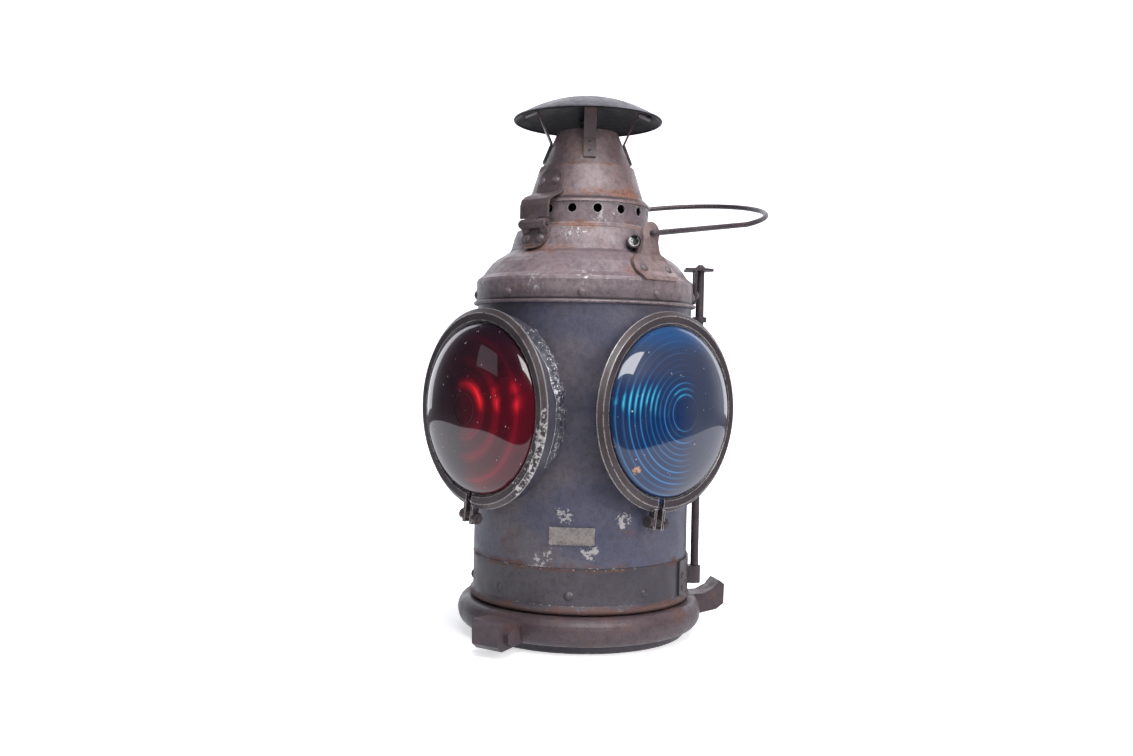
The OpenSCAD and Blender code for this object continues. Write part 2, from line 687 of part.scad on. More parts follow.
module rod_foot_plate() {
    knuckle_r = rod_d / 2 + rod_clear + knuckle_t;
    color("#3a3337") difference() {
        around(rod_turn) union() {
            rotate([0, 0, -90 - foot_plate_half]) translate([0, 0, foot_plate_low])
                rotate_extrude(angle = 2 * foot_plate_half, $fn = 128)
                translate([drum_r + 0.1, 0]) square([foot_plate_t, foot_plate_high - foot_plate_low]);
            translate([0, -rod_u, knuckle_z]) cylinder(h = knuckle_h, r = knuckle_r, $fn = 48);
            translate([-knuckle_r, -rod_u, knuckle_z]) cube([2 * knuckle_r, rod_u - drum_r - 0.7, knuckle_h]);
        }
        around(rod_turn) translate([0, -rod_u, knuckle_z - cut])
            cylinder(h = knuckle_h + 2 * cut, d = rod_d + 2 * rod_clear, $fn = 48);
        translate([0, 0, shelf_z]) cylinder(h = 60, r = drum_r + 0.1, $fn = 128);
        translate([0, 0, foot_plate_high - 0.5]) cylinder(h = 4, r = drum_r + 0.6, $fn = 128);
        at_foot_rivets() rivet_hole();
    }
}

module lock_rod() {
    head_r = 4.8;
    head_h = 3;
    head_z = rod_plate_z + rod_plate_t + 0.05;
    color("#2a2529") around(rod_turn) translate([0, -rod_u, 0]) {
        translate([0, 0, rod_foot_z]) cylinder(h = head_z - rod_foot_z + 0.5, d = rod_d, $fn = 48);
        translate([0, 0, head_z]) cylinder(h = head_h, r1 = head_r, r2 = head_r - 3, $fn = 48);
    }
}

module rod_collar() {
    color("#2a2529") around(rod_turn) translate([0, -rod_u, rod_collar_z]) difference() {
        cylinder(h = rod_collar_h, r = rod_d / 2 + 2.4, $fn = 48);
        translate([0, 0, -cut]) cylinder(h = rod_collar_h + 2 * cut, d = rod_d + 0.06, $fn = 48);
    }
}

module bracket_rivets() {
    color("#54484a") {
        at_rod_bracket_rivets() rivet(rod_leg_u + rod_plate_t - drum_in_r + 1);
        at_foot_rivets() rivet(foot_plate_t + drum_sheet + collar_t + fit + 0.5);
        for (turn = [90, 270]) at_ear_rivets(turn) rivet(ear_plate_t + roof_sheet + 0.6);
        at_lower_leaf_rivets() rivet(leaf_t + roof_sheet + 0.6);
    }
}

module leaf_outline(half, low, high, round_low) {
    corner = half - 2;
    translate([-half, round_low ? low + corner : low]) square([2 * half, high - low - corner]);
    for (s = [-1, 1]) translate([s * (half - corner), round_low ? low + corner : high - corner])
        circle(corner, $fn = 48);
    translate([-half + corner, low]) square([2 * (half - corner), high - low]);
}

module hinge_lower_leaf() {
    leaf_path = [for (i = [7:11]) roof_path[i]];
    leaf_low = lower_rivet_z - 8.2;
    leaf_high = pin_z - 3.2;
    side_w = curl_half - knuckle_half - 0.35;
    color("#5a484a") difference() {
        around(top_turn) union() {
            formed_sheet(leaf_path, leaf_t, 0.1, 20) leaf_outline(curl_half, leaf_low, leaf_high + 1, true);
            for (s = [-1, 1]) {
                slab(side_w, s * (curl_half - side_w / 2)) polygon([[vent_r + 6.6, leaf_high - 4],
                    [vent_r + 8.4, leaf_high - 4],
                    [pin_u + 0.6, pin_z - 3], [pin_u - 3.5, pin_z - 0.5]]);
                translate([s * (curl_half - side_w / 2) - side_w / 2, -pin_u, pin_z]) rotate([0, 90, 0])
                    cylinder(h = side_w, r = curl_r, $fn = 48);
            }
        }
        around(top_turn) translate([-20, -pin_u, pin_z]) rotate([0, 90, 0])
            cylinder(h = 40, d = pin_d + 2 * pin_fit, $fn = 48);
        around(top_turn) translate([-knuckle_half - 0.35, -pin_u, pin_z]) rotate([0, 90, 0])
            cylinder(h = 2 * knuckle_half + 0.7, r = curl_r + 0.35, $fn = 48);
        rotate_extrude($fn = 128) polygon(concat([[0, leaf_low - 9]],
            shifted([for (i = [6:13]) roof_path[i]], -0.08),
            [[0, vent_top_z]]));
        at_lower_leaf_rivets() rivet_hole();
    }
}

module hinge_pin() {
    head_t = 1.4;
    reach = curl_half + 0.1;
    color("#6b5e5c") around(top_turn) translate([0, -pin_u, pin_z]) rotate([0, 90, 0]) {
        translate([0, 0, -reach - head_t]) cylinder(h = head_t, d = pin_d + 2.4, $fn = 48);
        translate([0, 0, -reach - 0.1]) cylinder(h = 2 * reach + 0.1 + head_t, d = pin_d, $fn = 48);
    }
}

module hinge_upper_leaf() {
    box_path = [[box_u, pin_z + curl_r + 0.6], [box_u, vent_top_z - 3], [box_u - 1.6, vent_top_z + 1.6],
        [box_u - 5.5, vent_top_z + 4.6], [cone_foot_r - 2, cone_foot_z + 2.6]];
    cone_leaf_path = [[cone_foot_r, cone_foot_z], [cone_r(cone_foot_z + 19), cone_foot_z + 19]];
    color("#5e4c4e") difference() {
        around(top_turn) union() {
            slab(2 * box_half) polygon(sheet(box_path, leaf_t));
            formed_sheet(cone_leaf_path, leaf_t, 0.1, 30) leaf_outline(leaf_half, cone_foot_z - 1,
                cone_foot_z + 19.5, false);
            slab(2 * knuckle_half) polygon([[box_u, pin_z + 7], [box_u - leaf_t, pin_z + 7],
                [pin_u - 1.5, pin_z + 2.4],
                [pin_u + 3.4, pin_z]]);
            translate([-knuckle_half, -pin_u, pin_z]) rotate([0, 90, 0])
                cylinder(h = 2 * knuckle_half, r = curl_r, $fn = 48);
        }
        around(top_turn) translate([-20, -pin_u, pin_z]) rotate([0, 90, 0])
            cylinder(h = 40, d = pin_d + 2 * pin_fit, $fn = 48);
        rotate_extrude($fn = 128) polygon(concat([[0, pin_z]], shifted(cone_path, -0.08),
            [[0, cone_step_z + 5]]));
        at_upper_leaf_rivets() rivet_hole();
    }
}

module top_rivets() {
    color("#6b5a5c") {
        at_upper_leaf_rivets() rivet(leaf_t + cone_sheet + 0.8);
        at_tab_rivets() rivet(leaf_t + cone_sheet + 0.8);
    }
}

module cone_lower() {
    color("#64504f") difference() {
        rotate_extrude($fn = 128) polygon(sheet(cone_path, cone_sheet));
        at_upper_leaf_rivets() rivet_hole();
        at_tab_rivets() rivet_hole();
    }
}

module cone_upper() {
    color("#574a4b") difference() {
        rotate_extrude($fn = 128) polygon(sheet(upper_path, cone_sheet));
        at_strap_rivets() rivet_hole(strap_rivet_r);
    }
}

module rain_cap() {
    inner_r = cap_ball_r - cap_sheet;
    cap_half = asin(cap_r / cap_ball_r);
    color("#3c3640") {
        rotate_extrude($fn = 128) polygon(concat(
            [for (i = [0:12]) let (a = cap_half * i / 12) [cap_ball_r * sin(a), cap_ball_z +
                cap_ball_r * cos(a)]],
            [for (i = [12:-1:0]) let (a = cap_half * i / 12)
                [inner_r * sin(a), cap_ball_z + inner_r * cos(a)]]));
        rotate_extrude($fn = 128) translate([cap_r - 0.9, cap_rim_z]) circle(1.1, $fn = 24);
        translate([0, 0, cap_rim_z + cap_rise - 0.4]) cylinder(h = 1, r1 = 3, r2 = 1.6, $fn = 32);
    }
}

module cap_straps() {
    path = [[upper_cone_r(strap_foot_z), strap_foot_z], [upper_cone_r(strap_bend_z), strap_bend_z],
        for (r = [strap_under_in, strap_under_out]) [r, under_cap(r) - seat_gap - 1.25 * strap_t]];
    off = strap_fit / cos(upper_tilt);
    placed = [for (p = path) p + [off, 0]];
    color("#352e33") difference() {
        around(top_turn) for (turn = strap_turns) around(turn) slab(strap_w)
            polygon(sheet([placed[0], placed[1], placed[2]], -strap_t));
        at_strap_rivets() rivet_hole(strap_rivet_r);
    }
    color("#352e33") around(top_turn) for (turn = strap_turns) around(turn)
        slab(strap_w) polygon(sheet([placed[2] - [0.6, 0], placed[3]], strap_t));
}

module strap_rivets() {
    color("#2b2528") at_strap_rivets() rivet(strap_t + strap_fit + cone_sheet + 0.3, strap_rivet_r,
        strap_rivet_r + 0.5, 0.3);
}

module lift_tab() {
    tab_path = [[tab_u, vent_top_z - 8], [tab_u, vent_top_z + 1.5], [cone_foot_r - 2, cone_foot_z + 2.2]];
    cone_tab_path = [[cone_foot_r, cone_foot_z], [cone_r(cone_foot_z + 16), cone_foot_z + 16]];
    color("#5e4c4e") difference() {
        around(top_turn + 180) union() {
            slab(2 * tab_half) polygon(sheet(tab_path, -leaf_t));
            formed_sheet(cone_tab_path, leaf_t, 0.1, 20) leaf_outline(tab_half, cone_foot_z - 1,
                cone_foot_z + 16.5, false);
            slab(2 * tab_half) polygon([[tab_u, vent_top_z - 8], [tab_u + leaf_t, vent_top_z - 8],
                [tab_u + 8, vent_top_z - 11],
                [tab_u + 7, vent_top_z - 12.6]]);
        }
        rotate_extrude($fn = 128) polygon(concat([[0, pin_z]], shifted(cone_path, -0.08),
            [[0, cone_step_z + 5]]));
        at_tab_rivets() rivet_hole();
    }
}

module swivel_ring() {
    color("#4a3535") difference() {
        union() {
            rotate_extrude($fn = 128) polygon(concat([[swivel_in_r, swivel_low_z]],
                arc_points([swivel_r - swivel_round, swivel_mid_z], swivel_round, swivel_half_h, -90, 90, 12),
                [[swivel_in_r, swivel_high_z]]));
            around(lug_turn) slab(lug_w) polygon([[swivel_r - 6, lug_low_z + 2], [lug_reach - 5, lug_low_z],
                [lug_reach, lug_low_z + 4],
                [lug_reach + 0.6, lug_high_z - 1.5], [lug_reach - 1.5, lug_high_z],
                    [swivel_r + 6, lug_high_z - 0.4], [swivel_r - 6, lug_high_z - 4]]);
            around(arm_turn) slab(arm_w) polygon([[swivel_r - 6, lug_low_z + 2],
                [arm_reach - 6, lug_low_z + 6.5], [arm_reach, lug_low_z + 11],
                [arm_reach + 0.4, lug_high_z + 5.5], [arm_reach - 4, lug_high_z + 8.6],
                    [arm_reach - 9, lug_high_z + 2.4],
                [swivel_r + 6, lug_high_z - 1.6], [swivel_r - 6, lug_high_z - 2]]);
        }
        around(lug_turn) translate([-lug_w, -ring_bolt_u, ring_bolt_z]) rotate([0, 90, 0])
            cylinder(h = 2 * lug_w, d = ring_bolt_d + 0.3, $fn = 32);
    }
}

module ring_bolt() {
    color("#57423f") around(lug_turn) translate([0, -ring_bolt_u, ring_bolt_z]) rotate([0, 90, 0]) {
        translate([0, 0, lug_w / 2 + 0.1]) hex_head(10, ring_head_h);
        translate([0, 0, -lug_w / 2 - ring_nut_h - 2]) cylinder(h = lug_w + ring_nut_h + 2.2,
            d = ring_bolt_d, $fn = 32);
    }
}

module ring_nut() {
    color("#57423f") around(lug_turn) translate([0, -ring_bolt_u, ring_bolt_z]) rotate([0, 90, 0])
        translate([0, 0, -lug_w / 2 - 0.1 - ring_nut_h]) difference() {
            hex_head(10, ring_nut_h);
            translate([0, 0, -cut]) cylinder(h = ring_nut_h + 2 * cut, d = ring_bolt_d + 0.1, $fn = 32);
        }
}

module fount() {
    path = [[0, fount_low_z], [fount_r - 3, fount_low_z], [fount_r, fount_low_z + 3],
        [fount_r, fount_h - 6], [fount_r - 5, fount_h - 1],
        [fount_neck_r, fount_h], [fount_neck_r, burner_z]];
    color("#6d6a66") difference() {
        union() {
            rotate_extrude($fn = 96) polygon(sheet(path, fount_sheet));
            translate([filler_x, 0, fount_h - 2.6]) cylinder(h = filler_h + 2.6, r = filler_r, $fn = 48);
        }
        translate([filler_x, 0, fount_h - 12]) cylinder(h = 40, r = filler_r - 1.2, $fn = 48);
    }
}

module filler_cap() {
    cap_low = fount_h + 2;
    cap_high = fount_h + filler_h + 1.6;
    color("#8a7650") translate([filler_x, 0, cap_low]) difference() {
        cylinder(h = cap_high - cap_low, r = filler_r + 1.6, $fn = 48);
        translate([0, 0, -cut]) cylinder(h = fount_h + filler_h + 0.1 - cap_low + cut, r = filler_r + fit,
            $fn = 48);
    }
}

module fount_springs() {
    spring_t = 0.8;
    spring_u = fount_r + 0.4;
    path = [[neck_r - neck_wall - 3, floor_t + 0.05], [spring_u + 5, floor_t + 0.05],
        [spring_u + 5, floor_t + 14],
        [spring_u, floor_t + 30], [spring_u + 4, floor_t + 36]];
    color("#6e6a68") for (turn = spring_turns) around(turn) slab(14) polygon(sheet(path, -spring_t));
}

module burner() {
    tube_w = wick_w + 2 * wick_fit;
    tube_t = wick_t + 2 * wick_fit;
    color("#9a8350") difference() {
        union() {
            rotate_extrude($fn = 64) polygon([[0, burner_z - 5],
                [fount_neck_r - fount_sheet - fit, burner_z - 5],
                [fount_neck_r - fount_sheet - fit, burner_z + 0.1], [burner_flange_r, burner_z + 0.1],
                    [burner_flange_r, burner_z + 3],
                [burner_flange_r - 3, burner_z + 6], [12.5, burner_z + 28], [12.5, gallery_z - 3],
                    [gallery_r, gallery_z - gallery_t],
                [gallery_r, gallery_z + 3], [gallery_r - 0.9, gallery_z + 3], [gallery_r - 0.9, gallery_z],
                    [0, gallery_z]]);
            translate([-tube_w / 2 - wick_tube_t, -tube_t / 2 - wick_tube_t, gallery_z - 1])
                cube([tube_w + 2 * wick_tube_t, tube_t + 2 * wick_tube_t, 21]);
        }
        translate([-tube_w / 2, -tube_t / 2, burner_z - 10]) cube([tube_w, tube_t, 100]);
        translate([-6, -spindle_y - star_r - 0.8, spindle_z - star_r - 0.8])
            cube([6, star_r + spindle_y + 0.8, 2 * star_r + 1.6]);
        translate([-8, -spindle_y, spindle_z]) rotate([0, 90, 0])
            cylinder(h = 40, d = spindle_d + 0.2, $fn = 32);
    }
}

module burner_deflector() {
    path = [[13.6, gallery_z + 0.1], [13.6, gallery_z + 7], [11.5, gallery_z + 14], [8, gallery_z + 19.5]];
    color("#8f7a4c") difference() {
        rotate_extrude($fn = 64) polygon(sheet(path, 0.8));
        translate([-wick_w / 2 - 4, -4, gallery_z + 17]) cube([wick_w + 8, 8, 10]);
    }
}

module burner_glass() {
    color("#c8d4d8", 0.5) rotate_extrude($fn = 64) translate([glass_d / 2 - 1.6, gallery_z + 0.1])
        square([1.6, glass_h]);
}

module wick() {
    color("#d8cdb4") translate([-wick_w / 2, -wick_t / 2, wick_low_z])
        cube([wick_w, wick_t, wick_top_z - wick_low_z]);
}

module wick_spindle() {
    color("#a08a58") translate([0, -spindle_y, spindle_z]) rotate([0, 90, 0]) {
        translate([0, 0, -7]) cylinder(h = spindle_knob_x + 7, d = spindle_d, $fn = 32);
        translate([0, 0, -5]) cylinder(h = 4, r = star_r, $fn = 12);
        translate([0, 0, spindle_knob_x - 2.5]) cylinder(h = 2.5, r = 7, $fn = 40);
    }
}

base_pan();
lower_band();
band_rivets();
drum();
nameplate();
roof();
skirt_rivets();
lens_cup(0);  // lens_cup_front
lens_cup(1);  // lens_cup_right
lens_cup(2);  // lens_cup_rear
lens_cup(3);  // lens_cup_left
lens_ring(0);  // lens_ring_front
lens_ring(1);  // lens_ring_right
lens_ring(2);  // lens_ring_rear
lens_ring(3);  // lens_ring_left
lens_glass(0, "#7a0f1a");  // lens_front
lens_glass(1, "#1c5f93");  // lens_right
lens_glass(2, "#1c5f93");  // lens_rear
lens_glass(3, "#1c5f93");  // lens_left
lens_gaskets();
clamp_bolts();
clamp_nuts();
bail();
bail_ear(90);  // bail_ear_right
bail_ear(270);  // bail_ear_left
peep_tube();
peep_ring();
peep_glass();
rod_bracket();
rod_foot_plate();
lock_rod();
rod_collar();
bracket_rivets();
hinge_lower_leaf();
hinge_pin();
hinge_upper_leaf();
top_rivets();
cone_lower();
cone_upper();
rain_cap();
cap_straps();
strap_rivets();
lift_tab();
swivel_ring();
ring_bolt();
ring_nut();
fount();
filler_cap();
fount_springs();
burner();
burner_deflector();
burner_glass();
wick();
wick_spindle();
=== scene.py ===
# %% [markdown]
# # A railroad marker lamp
# The lamp is an oil lamp of painted sheet steel with four big pressed-glass lenses. It stands
# in a cast swivel ring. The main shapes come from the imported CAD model, which is loaded as a
# fixed frame, so this lesson is about dressing it: worn paint, rust, stepped glass and solder.

# %% Load the frame
import math
import bmesh
import bpy
from mathutils import Matrix, Vector
from mathutils import noise as hills


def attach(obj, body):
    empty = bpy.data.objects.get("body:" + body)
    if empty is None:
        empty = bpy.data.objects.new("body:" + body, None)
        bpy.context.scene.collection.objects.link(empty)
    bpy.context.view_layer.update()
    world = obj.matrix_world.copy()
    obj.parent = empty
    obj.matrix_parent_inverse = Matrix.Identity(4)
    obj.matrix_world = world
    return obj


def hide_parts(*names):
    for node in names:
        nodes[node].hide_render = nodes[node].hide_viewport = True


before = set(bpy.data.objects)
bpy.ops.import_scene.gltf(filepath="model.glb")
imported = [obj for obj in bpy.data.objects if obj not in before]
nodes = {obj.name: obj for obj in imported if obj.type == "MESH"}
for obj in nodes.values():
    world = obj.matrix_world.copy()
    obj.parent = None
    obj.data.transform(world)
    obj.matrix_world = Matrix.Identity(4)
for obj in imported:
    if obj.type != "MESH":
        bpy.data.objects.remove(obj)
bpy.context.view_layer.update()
mm = 0.001

# %% [markdown]
# ## Camera
# The picture was taken from a little under one metre away, at half the lamp's height, with
# the camera turned slightly so that the lamp leans to the right. The place and the turn were
# fitted to the round edges of the lamp, and are written here as numbers.

# %% Camera
azimuth = math.radians(46.8)
distance = 0.884
eye_height = 0.2151
yaw = math.radians(-0.850)
pitch = math.radians(-1.136)
roll = math.radians(1.080)
focal_length = 35.46

sideways = Vector((math.cos(yaw), -math.sin(yaw), 0))
level = Vector((math.sin(yaw), math.cos(yaw), 0))
forward = level * math.cos(pitch) + Vector((0, 0, math.sin(pitch)))
upward = level * -math.sin(pitch) + Vector((0, 0, math.cos(pitch)))
right = sideways * math.cos(roll) + upward * math.sin(roll)
above = upward * math.cos(roll) - sideways * math.sin(roll)
camera_axes = Matrix((right, above, -forward)).transposed().to_4x4()
placed = Matrix.Translation((0, -distance, eye_height)) @ camera_axes
lens = bpy.data.cameras.new("camera")
lens.lens = focal_length
lens.sensor_width = 36
lens.clip_start = 0.01
camera = bpy.data.objects.new("camera", lens)
bpy.context.scene.collection.objects.link(camera)
camera.matrix_world = Matrix.Rotation(azimuth, 4, "Z") @ placed
bpy.context.scene.camera = camera
print("camera at", [round(c, 3) for c in camera.matrix_world.translation])

# %% [markdown]
# ## Helpers
# A shader is a small machine of nodes. These helpers name the steps that come back in every
# material, so that each recipe below reads as arithmetic on patterns and colours. Numbers
# after a noise are its scale, detail and roughness; numbers after a fade are its two ends.

# %% Small helpers for node trees
def fill(tree, node, wires):
    """Fills a node's sockets with values, or with outputs of other nodes."""
    for socket, value in wires.items():
        if isinstance(value, bpy.types.NodeSocket):
            tree.links.new(value, node.inputs[socket])
        else:
            node.inputs[socket].default_value = value


def add(tree, kind, wires=None, **settings):
    """Adds a node with its settings, and fills its sockets."""
    made = tree.nodes.new(kind)
    for key, value in settings.items():
        setattr(made, key, value)
    fill(tree, made, wires or {})
    return made


def maths(tree, operation, a, b=0.0, clamp=False):
    """One step of arithmetic on numbers or outputs."""
    wires = {0: a, 1: b}
    return add(tree, "ShaderNodeMath", wires, operation=operation, use_clamp=clamp).outputs[0]


def plus(tree, a, b):
    """a + b"""
    return maths(tree, "ADD", a, b)


def minus(tree, a, b, clamp=False):
    """a - b"""
    return maths(tree, "SUBTRACT", a, b, clamp)


def times(tree, a, b, clamp=False):
    """a * b"""
    return maths(tree, "MULTIPLY", a, b, clamp)


def on_vectors(tree, operation, a, b=None, gives=0):
    """One step of arithmetic on vectors; gives is the output that is wanted."""
    wires = {0: a} if b is None else {0: a, 1: b}
    return add(tree, "ShaderNodeVectorMath", wires, operation=operation).outputs[gives]


def height_of(tree, vector):
    """The third part of a vector."""
    return add(tree, "ShaderNodeSeparateXYZ", {0: vector}).outputs["Z"]


def place_on_piece(tree):
    """Object coordinates, so that a pattern stays on the metal when the piece moves."""
    return add(tree, "ShaderNodeTexCoord").outputs["Object"]


def fade(tree, value, low, high, to_low=0.0, to_high=1.0):
    """A smooth step of a value from low to high."""
    wires = {"Value": value, 1: low, 2: high, 3: to_low, 4: to_high}
    return add(tree, "ShaderNodeMapRange", wires, interpolation_type="SMOOTHSTEP").outputs[0]


def tint(tree, factor, a, b):
    """Mixes two colours."""
    wires = {0: factor, 6: a, 7: b}
    return add(tree, "ShaderNodeMix", wires, data_type="RGBA", blend_type="MIX").outputs[2]


def noise(tree, where, scale, detail, rough):
    """A noise pattern, from 0 to 1."""
    wires = {"Vector": where, "Scale": scale, "Detail": detail, "Roughness": rough}
    return add(tree, "ShaderNodeTexNoise", wires).outputs[0]


def glow_of(tree, colour, strength, kind="ShaderNodeEmission"):
    """A surface or a background that gives off light."""
    return add(tree, kind, {"Color": colour, "Strength": strength}).outputs[0]


def choose(tree, factor, a, b):
    """Shader a where the factor is 0 and shader b where it is 1."""
    return add(tree, "ShaderNodeMixShader", {0: factor, 1: a, 2: b}).outputs[0]


def seen_directly(tree, path):
    """1 for rays that come from the camera, also through clear glass."""
    return maths(tree, "MAXIMUM", path["Is Camera Ray"], path["Is Transmission Ray"])


def empty_tree(owner):
    """The node tree of a world or a material, cleared, and the outputs of its Light Path."""
    owner.use_nodes = True
    owner.node_tree.nodes.clear()
    return owner.node_tree, add(owner.node_tree, "ShaderNodeLightPath").outputs


def new_material(name):
    """A material, its node tree and its Principled shader."""
    made = bpy.data.materials.new(name)
    made.use_nodes = True
    return made, made.node_tree, made.node_tree.nodes["Principled BSDF"]


print("helpers ready")

# %% [markdown]
# ## Floor, world and lamps
# The lamp stands on a white table before a white sheet, in a room that is dark behind the
# camera. That contrast is what polished glass shows: a pale table edge low on each lens, a pale
# crescent at the rim, and darkness between. The floor stays a plain disc, but to reflections it
# is pale only within an ellipse, the table, and dark beyond. Three soft lamps light what is
# matt and don't show in the glass. Two more, the windows, show in the glass and light nothing
# that is matt. One real window would do both, but then neither could be set by itself.

# %% Room, table and backdrop
pure_white = (1, 1, 1, 1)
cold_white = (0.93, 0.94, 1.0, 1)
dim_blue = (0.75, 0.80, 1.0, 1)
room_colour, room_light, gloom_light = (0.80, 0.83, 0.95, 1), 0.29, 0.06
table_colour, table_mirrored, beyond_mirrored = (0.86, 0.86, 0.87, 1), 1.0, 0.05
glow_from, glow_full, painted_shade_glow, glow_far = 0.10, 0.34, 0.55, 1.05
paper_seen, paper_lighting = 1.7, 0.5
camera_side = Vector((math.sin(azimuth), -math.cos(azimuth), 0))
sideways_axis = Vector((math.cos(azimuth), math.sin(azimuth), 0))
table_back, table_left, table_deep, table_wide = 0.45, 0.08, 0.79, 1.55
table_edge, table_end = 1.0, 1.02
table_centre = -table_back * camera_side - table_left * sideways_axis
floor_radius = 6.0
sheet_far, sheet_half, sheet_top = 2.0, 2.6, 2.6
aim_height = 0.2

scene = bpy.context.scene
scene.view_settings.view_transform = "Standard"
world = bpy.data.worlds.new("room")
scene.world = world
tree, path = empty_tree(world)
room = glow_of(tree, room_colour, room_light, "ShaderNodeBackground")
gloom = glow_of(tree, dim_blue, gloom_light, "ShaderNodeBackground")
white = glow_of(tree, pure_white, 1.0, "ShaderNodeBackground")
unseen = choose(tree, path["Is Glossy Ray"], room, gloom)
whole = choose(tree, seen_directly(tree, path), unseen, white)
add(tree, "ShaderNodeOutputWorld", {"Surface": whole})


def stage_sheet(name, shape, material):
    """Puts a bmesh on the stage as a plain sheet with one material."""
    data = bpy.data.meshes.new(name)
    shape.to_mesh(data)
    shape.free()
    data.materials.append(material)
    made = bpy.data.objects.new(name, data)
    scene.collection.objects.link(made)


table_top = bpy.data.materials.new("white_table")
tree, path = empty_tree(table_top)
spot = place_on_piece(tree)
away = on_vectors(tree, "LENGTH", spot, gives="Value")
from_middle = on_vectors(tree, "SUBTRACT", spot, table_centre)
deep = on_vectors(tree, "DOT_PRODUCT", from_middle, camera_side / table_deep, "Value")
wide = on_vectors(tree, "DOT_PRODUCT", from_middle, sideways_axis / table_wide, "Value")
on_ellipse = add(tree, "ShaderNodeCombineXYZ", {0: deep, 1: wide}).outputs[0]
off_middle = on_vectors(tree, "LENGTH", on_ellipse, gives="Value")
beyond = fade(tree, off_middle, table_edge, table_end)
matt = add(tree, "ShaderNodeBsdfDiffuse", {"Color": table_colour}).outputs[0]
# The floor glows less near the lamp's foot than further off: a painted shade round the lamp,
# where its real shadow falls
glow = glow_of(tree, pure_white, fade(tree, away, glow_from, glow_full, painted_shade_glow, glow_far))
in_view = add(tree, "ShaderNodeAddShader", {0: matt, 1: glow}).outputs[0]
in_mirror = choose(tree, beyond, glow_of(tree, cold_white, table_mirrored),
    glow_of(tree, dim_blue, beyond_mirrored))
whole = choose(tree, seen_directly(tree, path), matt, in_view)
whole = choose(tree, path["Is Glossy Ray"], whole, in_mirror)
add(tree, "ShaderNodeOutputMaterial", {"Surface": whole})
floor_shape = bmesh.new()
bmesh.ops.create_circle(floor_shape, cap_ends=True, radius=floor_radius, segments=96)
stage_sheet("floor", floor_shape, table_top)

paper = bpy.data.materials.new("white_paper")
tree, path = empty_tree(paper)
whole = choose(tree, path["Is Diffuse Ray"], glow_of(tree, cold_white, paper_seen),
    glow_of(tree, pure_white, paper_lighting))
add(tree, "ShaderNodeOutputMaterial", {"Surface": whole})
sheet_shape = bmesh.new()
sheet_foot = -sheet_far * camera_side
corners = [(-1, 0), (1, 0), (1, sheet_top), (-1, sheet_top)]
sheet_shape.faces.new([
    sheet_shape.verts.new(side * sheet_half * sideways_axis + sheet_foot + Vector((0, 0, up)))
    for side, up in corners])
stage_sheet("backdrop", sheet_shape, paper)


def soft_lamp(name, turn, reach, height, size, power, colour, mirrored=False, tilt=0):
    """A soft lamp round the marker lamp's axis, aimed at its middle. A mirrored one shows in
    the glass and lights nothing matt; any other does the reverse."""
    light = bpy.data.lights.new(name, "AREA")
    light.shape = "RECTANGLE"
    light.size, light.size_y = size
    light.energy = power
    light.color = colour
    made = bpy.data.objects.new(name, light)
    made.visible_camera = False
    made.visible_glossy = mirrored
    made.visible_diffuse = not mirrored
    scene.collection.objects.link(made)
    angle = math.radians(turn)
    stand = Vector((math.sin(angle) * reach, -math.cos(angle) * reach, height))
    aim = (Vector((0, 0, aim_height)) - stand).to_track_quat("-Z", "Y")
    tilted = Matrix.Rotation(math.radians(tilt), 4, "Z")
    made.matrix_world = Matrix.Translation(stand) @ aim.to_matrix().to_4x4() @ tilted


soft_lamp("overhead", 74, 0.45, 1.5, (0.9, 0.9), 31, (1.0, 0.98, 1.0))
soft_lamp("fill_right", 88, 1.5, 0.75, (0.7, 0.7), 16, (1.0, 0.97, 0.98))
soft_lamp("strip_left", 10, 1.3, 0.70, (0.16, 0.9), 1.0, (0.80, 0.86, 1.0))
soft_lamp("window_right", 64, 0.95, 1.06, (1.50, 0.50), 16, (1.0, 1.0, 1.0), True, -17)
soft_lamp("window_dim", -36, 1.5, 0.62, (0.42, 0.36), 0.22, (0.85, 0.9, 1.0), True)
print("room, table, backdrop and soft lamps")

# %% [markdown]
# ## Worn paint
# Every painted piece is the same story: steel, a thin dark coat, years of soot, rust where
# water sits, and chips that show bare tinned metal. That is one node group with named inputs,
# placed in each material with its own colours and amounts. It reads Object coordinates, so
# the pattern stays on the metal when a piece moves. Each layer is a noise pattern cut off at a
# limit, and a larger amount lowers that limit, so that more of the metal is covered.

# %% Group: weathered paint
def new_group(name, wants, gives):
    """A node group with typed inputs (name, kind, default) and outputs (name, kind)."""
    group = bpy.data.node_groups.new(name, "ShaderNodeTree")
    for title, kind, value in wants:
        kind = "NodeSocket" + kind
        made = group.interface.new_socket(title, in_out="INPUT", socket_type=kind)
        made.default_value = value
    for title, kind in gives:
        group.interface.new_socket(title, in_out="OUTPUT", socket_type="NodeSocket" + kind)
    start = group.nodes.new("NodeGroupInput")
    end = group.nodes.new("NodeGroupOutput")
    return group, start.outputs, end


worn, given, out = new_group("weathered_paint", [
    ("Paint", "Color", (0.1, 0.1, 0.1, 1)), ("Faded Paint", "Color", (0.2, 0.2, 0.2, 1)),
    ("Rust", "Color", (0.2, 0.08, 0.04, 1)), ("Bare Metal", "Color", (0.55, 0.53, 0.5, 1)),
    ("Rust Amount", "Float", 0.3), ("Chip Amount", "Float", 0.2), ("Grime Amount", "Float", 0.4),
    ("Extra Rust", "Float", 0.0), ("Extra Chips", "Float", 0.0)],
    [("Color", "Color"), ("Roughness", "Float"), ("Metallic", "Float"), ("Height", "Float")])
grime_colour, old_rust = (0.030, 0.026, 0.026, 1), (0.085, 0.040, 0.028, 1)
rust_limit, rust_reach, rust_cover, extra_rust = 0.76, 0.34, 0.78, 0.30
chip_limit, chip_reach, chip_metallic, extra_chips = 0.86, 0.20, 0.55, 0.26
spot = place_on_piece(worn)

